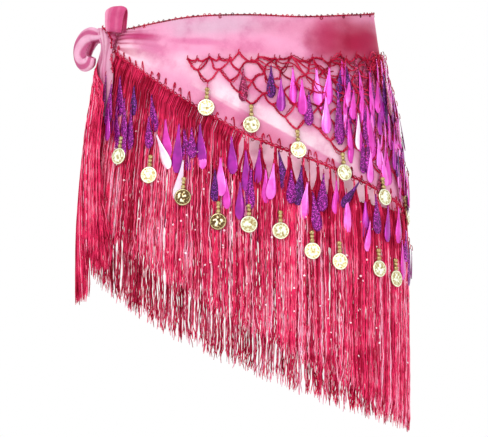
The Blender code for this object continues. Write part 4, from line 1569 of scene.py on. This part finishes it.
def add_coin_disc(shape, length, seed, dark):
    """A coin whose two faces stand out in relief, with darker low places."""
    turns, rings = 40, 11
    centre = np.array((0, 0, -length - COIN_RADIUS))
    points, tones, faces = [], [], []
    for way in (-1, 1):
        base = len(points)
        for i in range(rings + 1):
            r = i / rings
            for j in range(turns if i else 1):
                turn = 2 * math.pi * j / turns
                relief = coin_relief(r, turn, seed + way)
                depth = way * (COIN_THICKNESS / 2 + relief - (0.25 * MM if i == rings else 0))
                spot = (math.cos(turn) * r * COIN_RADIUS, depth, math.sin(turn) * r * COIN_RADIUS)
                points.append(centre + spot)
                tones.append(0.04 - dark + min(0.55, relief / MM * 1.5))
        for j in range(turns):
            k = (j + 1) % turns
            rows = [(base, base + 1 + j, base + 1 + k)]
            for i in range(rings - 1):
                a, b = base + 1 + i * turns + j, base + 1 + i * turns + k
                rows.append((a, a + turns, b + turns, b))
            faces += rows if way < 0 else [row[::-1] for row in rows]
    half = 1 + rings * turns
    outer = 1 + (rings - 1) * turns
    for j in range(turns):
        k = (j + 1) % turns
        faces.append((outer + j, half + outer + j, half + outer + k, outer + k))
    shape.add(np.array(points), faces, tones)


def coin_shape(length, number, dark):
    """A coin with its beads and its twisted thread, hanging below the origin."""
    shape = Shape()
    rng = random.Random(number)
    add_coin_disc(shape, length, number * 3.7, dark)
    spot = length - 2.2 * MM
    for bead in range(BEADS):
        size = BEAD_RADIUS * (1.25 if bead % 2 == 0 else 1.1)
        points, faces = ball((size, size, 0.92 * size), 12, 8, lambda direction: 1.0)
        shape.add([p - UP * spot for p in points], faces, 0.02)
        spot -= size * 1.65
    path = [Vector((0, 0, -t / 24 * (length + 0.4 * MM))) for t in range(25)]
    shape.add_runs(twisted(path, Vector((0, 1, 0)), 0.5 * MM, 4.4 * MM, rng), 4, 1)
    return shape


def add_coin(node, number, side, share, head, foot, length, materials):
    """One coin on the line between two places, turned a little about its thread."""
    # Painted reflection: these coins are darkened all over
    dark = 0.3 if node in DARK_REFLECTION_COINS else 0.0
    shape = coin_shape(length, number, dark)
    obj = shape.build(f"{node}_look", [materials["gold"], materials["crochet"]], ["tone", "shade"])
    outward = normal_at(side, share, (head.z + foot.z) / 2)
    up = (head - foot).normalized()
    outward = (outward - outward.dot(up) * up).normalized()
    turn = random.Random(number).uniform(-7, 7)
    obj.matrix_world = local_frame(head, outward, up) @ Matrix.Rotation(math.radians(turn), 4, "Z")
    finish_piece(obj, node)


def add_coins(side, materials):
    name = SIDE_NAMES[side]
    first_number = 100 if side == FRONT else 200
    net_lift = CLOTH / 2 + 2 * SEAM_GAP + NET_THREAD + STRING_RADIUS
    for number, coin in enumerate(NET_COINS, 1):
        share = net_share(side, coin.column)
        top = net_height(share, lowest_row(coin.column) + 1) + 0.5 * MM
        head = cloth_point(side, share, top, net_lift)
        foot = cloth_point(side, share, top - coin.thread - 2 * COIN_RADIUS, net_lift + 2 * MM)
        node = f"net_coin_{name}_{number:02d}"
        add_coin(node, first_number + number, side, share, head, foot, coin.thread, materials)
    hem_lift = HEM_CORD + SEAM_GAP + STRING_RADIUS
    for number, coin in enumerate(HEM_COINS if side == FRONT else HEM_COINS[1:], 1):
        top = hem_height(side, coin.share, SEAM_GAP + HEM_CORD / 2)
        head = cloth_point(side, coin.share, top, hem_lift)
        foot = figure_point(angle_at(side, coin.share), top - coin.drop, hem_lift + 2.8 * MM)
        node = f"hem_coin_{name}_{number:02d}"
        length = coin.drop - 2 * COIN_RADIUS
        add_coin(node, first_number + 50 + number, side, coin.share, head, foot, length, materials)


def drop_outline(t):
    """Half the width of a drop-shaped spangle down its length, as a share of its widest."""
    if t < 0.8:
        return 0.16 + 0.84 * ease(t / 0.8) ** 1.15
    return math.sqrt(max(0.0, 1 - ((t - 0.8) / 0.2) ** 2))


def drop_points(width, length, cup):
    """The grid of one thin cupped drop that hangs below its hole, as points and faces."""
    columns, rows = 4, 11
    thickness = 0.35 * MM
    points, faces = [], []
    for layer in (1, -1):
        for i in range(rows + 1):
            t = 0.5 - 0.5 * math.cos(math.pi * i / rows)
            half = width / 2 * drop_outline(min(t, 0.985))
            for j in range(columns + 1):
                u = 2 * j / columns - 1
                depth = cup * (u * u * half / (width / 2) + 0.6 * (2 * t - 1) ** 2)
                points.append(Vector((u * half, depth - layer * thickness / 2, -t * length)))
    row = columns + 1
    size = (rows + 1) * row
    for i in range(rows):
        for j in range(columns):
            a = i * row + j
            faces.append((a, a + row, a + row + 1, a + 1))
            faces.append((size + a, size + a + 1, size + a + row + 1, size + a + row))
    for i in range(rows):
        for a, flip in ((i * row, False), (i * row + columns, True)):
            face = (a, size + a, size + a + row, a + row)
            faces.append(face[::-1] if flip else face)
    for j in range(columns):
        for a, flip in ((j, True), (rows * row + j, False)):
            face = (a, size + a, size + a + 1, a + 1)
            faces.append(face[::-1] if flip else face)
    return points, faces


class Spangles:
    """Spangles gathered by tint, so that each tint is one mesh, with the threads that hold them."""

    def __init__(self, name):
        self.name = name
        self.shapes = {}
        self.threads = []

    def add(self, top, outward, length, tint, lean, rng):
        width = length * rng.uniform(0.27, 0.31) if length < 50 * MM else 12.5 * MM
        points, faces = drop_points(width, length, rng.uniform(0.3, 1.2) * MM)
        turn = Matrix.Rotation(math.radians(rng.uniform(-16, 16)), 4, "Z")
        tilt = Matrix.Rotation(math.radians(-lean), 4, "Y") @ turn
        swing = Matrix.Rotation(math.radians(rng.uniform(0, 5)), 4, "X")
        place = local_frame(top, outward, UP) @ swing @ tilt
        self.shapes.setdefault(tint, Shape()).add([place @ p for p in points], faces, 0.0)
        loop = [
            top + UP * 4.5 * MM - outward * 0.8 * MM,
            top + UP * 2.0 * MM + outward * 0.3 * MM,
            place @ Vector((0, -0.4 * MM, -1.8 * MM)),
        ]
        self.threads.append(Run(smooth_path(loop, 3), outward, 0.4 * MM, rng.uniform(0.2, 0.6)))

    def finish(self, materials):
        for tint, shape in self.shapes.items():
            finish_piece(shape.build(f"spangles_{self.name}_{tint}", [materials[tint]], []))
        thread_piece(f"spangle_threads_{self.name}", self.threads, "crochet", materials)


def pick_tint(rng):
    return rng.choices(list(TINTS), TINTS.values())[0]


def add_front_spangles():
    """The spangles that the front view shows, each in its place."""
    rng = random.Random(5)
    on_hem, on_net = Spangles("hem_front"), Spangles("net_front")
    places = (
        (on_hem, HEM_SPANGLES, 4.2 * MM),
        (on_hem, TAIL_SPANGLES, 9.6 * MM),
        (on_net, NET_SPANGLES, 4.4 * MM),
    )
    for group, rows, lift in places:
        for number, row in enumerate(rows):
            height = row.z * MM
            out = lift + (number % 3) * 0.9 * MM
            angle = front_angle(row.x * MM, height, out)
            outward = figure_normal(angle, height - row.length * MM / 2)
            group.add(figure_point(angle, height, out), outward, row.length * MM, row.tint, row.lean, rng)
    return on_hem, on_net


def add_hem_spangles(group, side, first, last, rng):
    """Spangles in layers below the hem, from one distance from the point to another."""
    distance = first
    while distance < last:
        share = share_at(side, distance)
        chained = share > CHAIN_END_SHARE
        below = rng.uniform(22, 42) if chained else rng.uniform(14, 50)
        height = hem_height(side, share, below * MM)
        out = rng.choice((3.6, 4.8, 6.0)) * MM
        angle = angle_at(side, share)
        outward = figure_normal(angle, height - 20 * MM)
        length = rng.uniform(32, 44) * MM
        group.add(figure_point(angle, height, out), outward, length, pick_tint(rng), rng.uniform(-7, 7), rng)
        distance += rng.uniform(6, 11) * MM


def add_net_spangles(group, side, columns, chance, rng):
    """Spangles that hang from the net's knots, overlapping like scales."""
    for column in columns:
        for row in range(0, lowest_row(column) + 1):
            if rng.random() > chance(column):
                continue
            place = net_place(side, column + rng.uniform(-0.35, 0.35), row + rng.uniform(0, 0.5), 0)
            outward = normal_at(side, net_share(side, column), place.z - 18 * MM)
            spare = rng.uniform(0, 5) * MM if column < 4 else 0.0
            top = place + outward * (3.4 * MM + (row % 3) * 0.8 * MM + spare)
            group.add(top, outward, rng.uniform(30, 40) * MM, pick_tint(rng), rng.uniform(-8, 8), rng)


def add_spangles(materials):
    rng = random.Random(19)
    on_hem, on_net = add_front_spangles()
    add_hem_spangles(on_hem, FRONT, 2 * MM, 38 * MM, rng)
    add_net_spangles(on_net, FRONT, range(0, 9), lambda column: 1.0, rng)
    back_hem, back_net = Spangles("hem_back"), Spangles("net_back")
    add_hem_spangles(back_hem, BACK, 3 * MM, LENGTHS[BACK] * 0.88, rng)
    add_net_spangles(back_net, BACK, range(0, 20), lambda column: 1.0 if column < 8 else 0.42, rng)
    for group in (on_hem, on_net, back_hem, back_net):
        group.finish(materials)


def add_sequins(materials):
    """Small clear sequins, caught here and there in the fringe."""
    rng = random.Random(29)
    shape = Shape()
    faces = ring_faces(SEQUIN_SIDES, 2)
    for number in range(SEQUINS):
        side = SIDES[number % 2]
        share = rng.uniform(0.06, 0.97)
        hem, end = stations(share)[1:]
        height = hem - 45 * MM - rng.random() * (hem - end - 70 * MM)
        angle = angle_at(side, share)
        middle = figure_point(angle, height, rng.uniform(1.6, 2.8) * MM)
        turn, tilt = (Matrix.Rotation(rng.uniform(-0.6, 0.6), 4, axis) for axis in "ZX")
        frame = local_frame(middle, figure_normal(angle, height), UP) @ (turn @ tilt)
        radius = rng.uniform(0.9, 1.4) * MM
        points = []
        for depth in (-0.1 * MM, 0.1 * MM):
            for i in range(SEQUIN_SIDES):
                turn = 2 * math.pi * i / SEQUIN_SIDES
                points.append(frame @ Vector((radius * math.cos(turn), depth, radius * math.sin(turn))))
        shape.add(points, faces, 0.0)
    finish_piece(shape.build("clear_sequins", [materials["sequin"]], [], smooth=False))


def aim(obj, target):
    direction = Vector(target) - obj.location
    obj.rotation_euler = direction.to_track_quat("-Z", "Y").to_euler()


def add_light(name, place, size, power):
    data = bpy.data.lights.new(name, "AREA")
    data.size = size
    data.energy = power
    obj = bpy.data.objects.new(name, data)
    bpy.context.scene.collection.objects.link(obj)
    obj.location = place
    aim(obj, CAMERA_AIM)


def add_stage():
    """A white studio with a pale floor, soft lights and the photograph's camera."""
    scene = bpy.context.scene
    world = bpy.data.worlds.new("studio")
    world.use_nodes = True
    background = world.node_tree.nodes["Background"]
    background.inputs["Color"].default_value = (1, 1, 1, 1)
    background.inputs["Strength"].default_value = 1.0
    scene.world = world
    scene.view_settings.view_transform = "Standard"
    shader = Shader("pale_floor")
    tone = shader.ramp(shader.noise(3, 2), ((0.3, (236, 236, 238)), (0.7, (244, 244, 245))))
    shader.set(Base_Color=tone, Roughness=0.8)
    signs = ((-1, -1), (1, -1), (1, 1), (-1, 1))
    corners = [(x * FLOOR_HALF, y * FLOOR_HALF, FLOOR_HEIGHT) for x, y in signs]
    add_mesh("floor", corners, [(0, 1, 2, 3)], [shader.material])
    for light in LIGHTS:
        add_light(*light)
    data = bpy.data.cameras.new("camera")
    data.sensor_width = SENSOR
    data.lens = SENSOR * CAMERA_DISTANCE / PICTURE_WIDTH
    camera = bpy.data.objects.new("camera", data)
    scene.collection.objects.link(camera)
    tilt = math.radians(CAMERA_ELEVATION)
    camera.location = CAMERA_AIM + CAMERA_DISTANCE * Vector((0, -math.cos(tilt), math.sin(tilt)))
    aim(camera, CAMERA_AIM)
    scene.camera = camera


def declare_sheet(obj):
    """Adds up the area of one stretch of the scarf that shows; nothing is done with the sum."""
    area = sum(face.area for face in obj.data.polygons)


def main():
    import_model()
    add_stage()
    materials = make_materials()
    add_knot(materials)
    declare_sheet(add_upper_loop(materials))
    declare_sheet(add_side_loop(materials))
    for side in SIDES:
        declare_sheet(add_wrap(side, materials))
        declare_sheet(add_tail(side, materials))
        add_waist_crochet(side, materials)
        add_hem_crochet(side, materials)
        add_net(side, materials)
        add_hem_fringe(side, materials)
        add_tail_fringe(side, materials)
        add_coins(side, materials)
    add_spangles(materials)
    add_sequins(materials)


main()
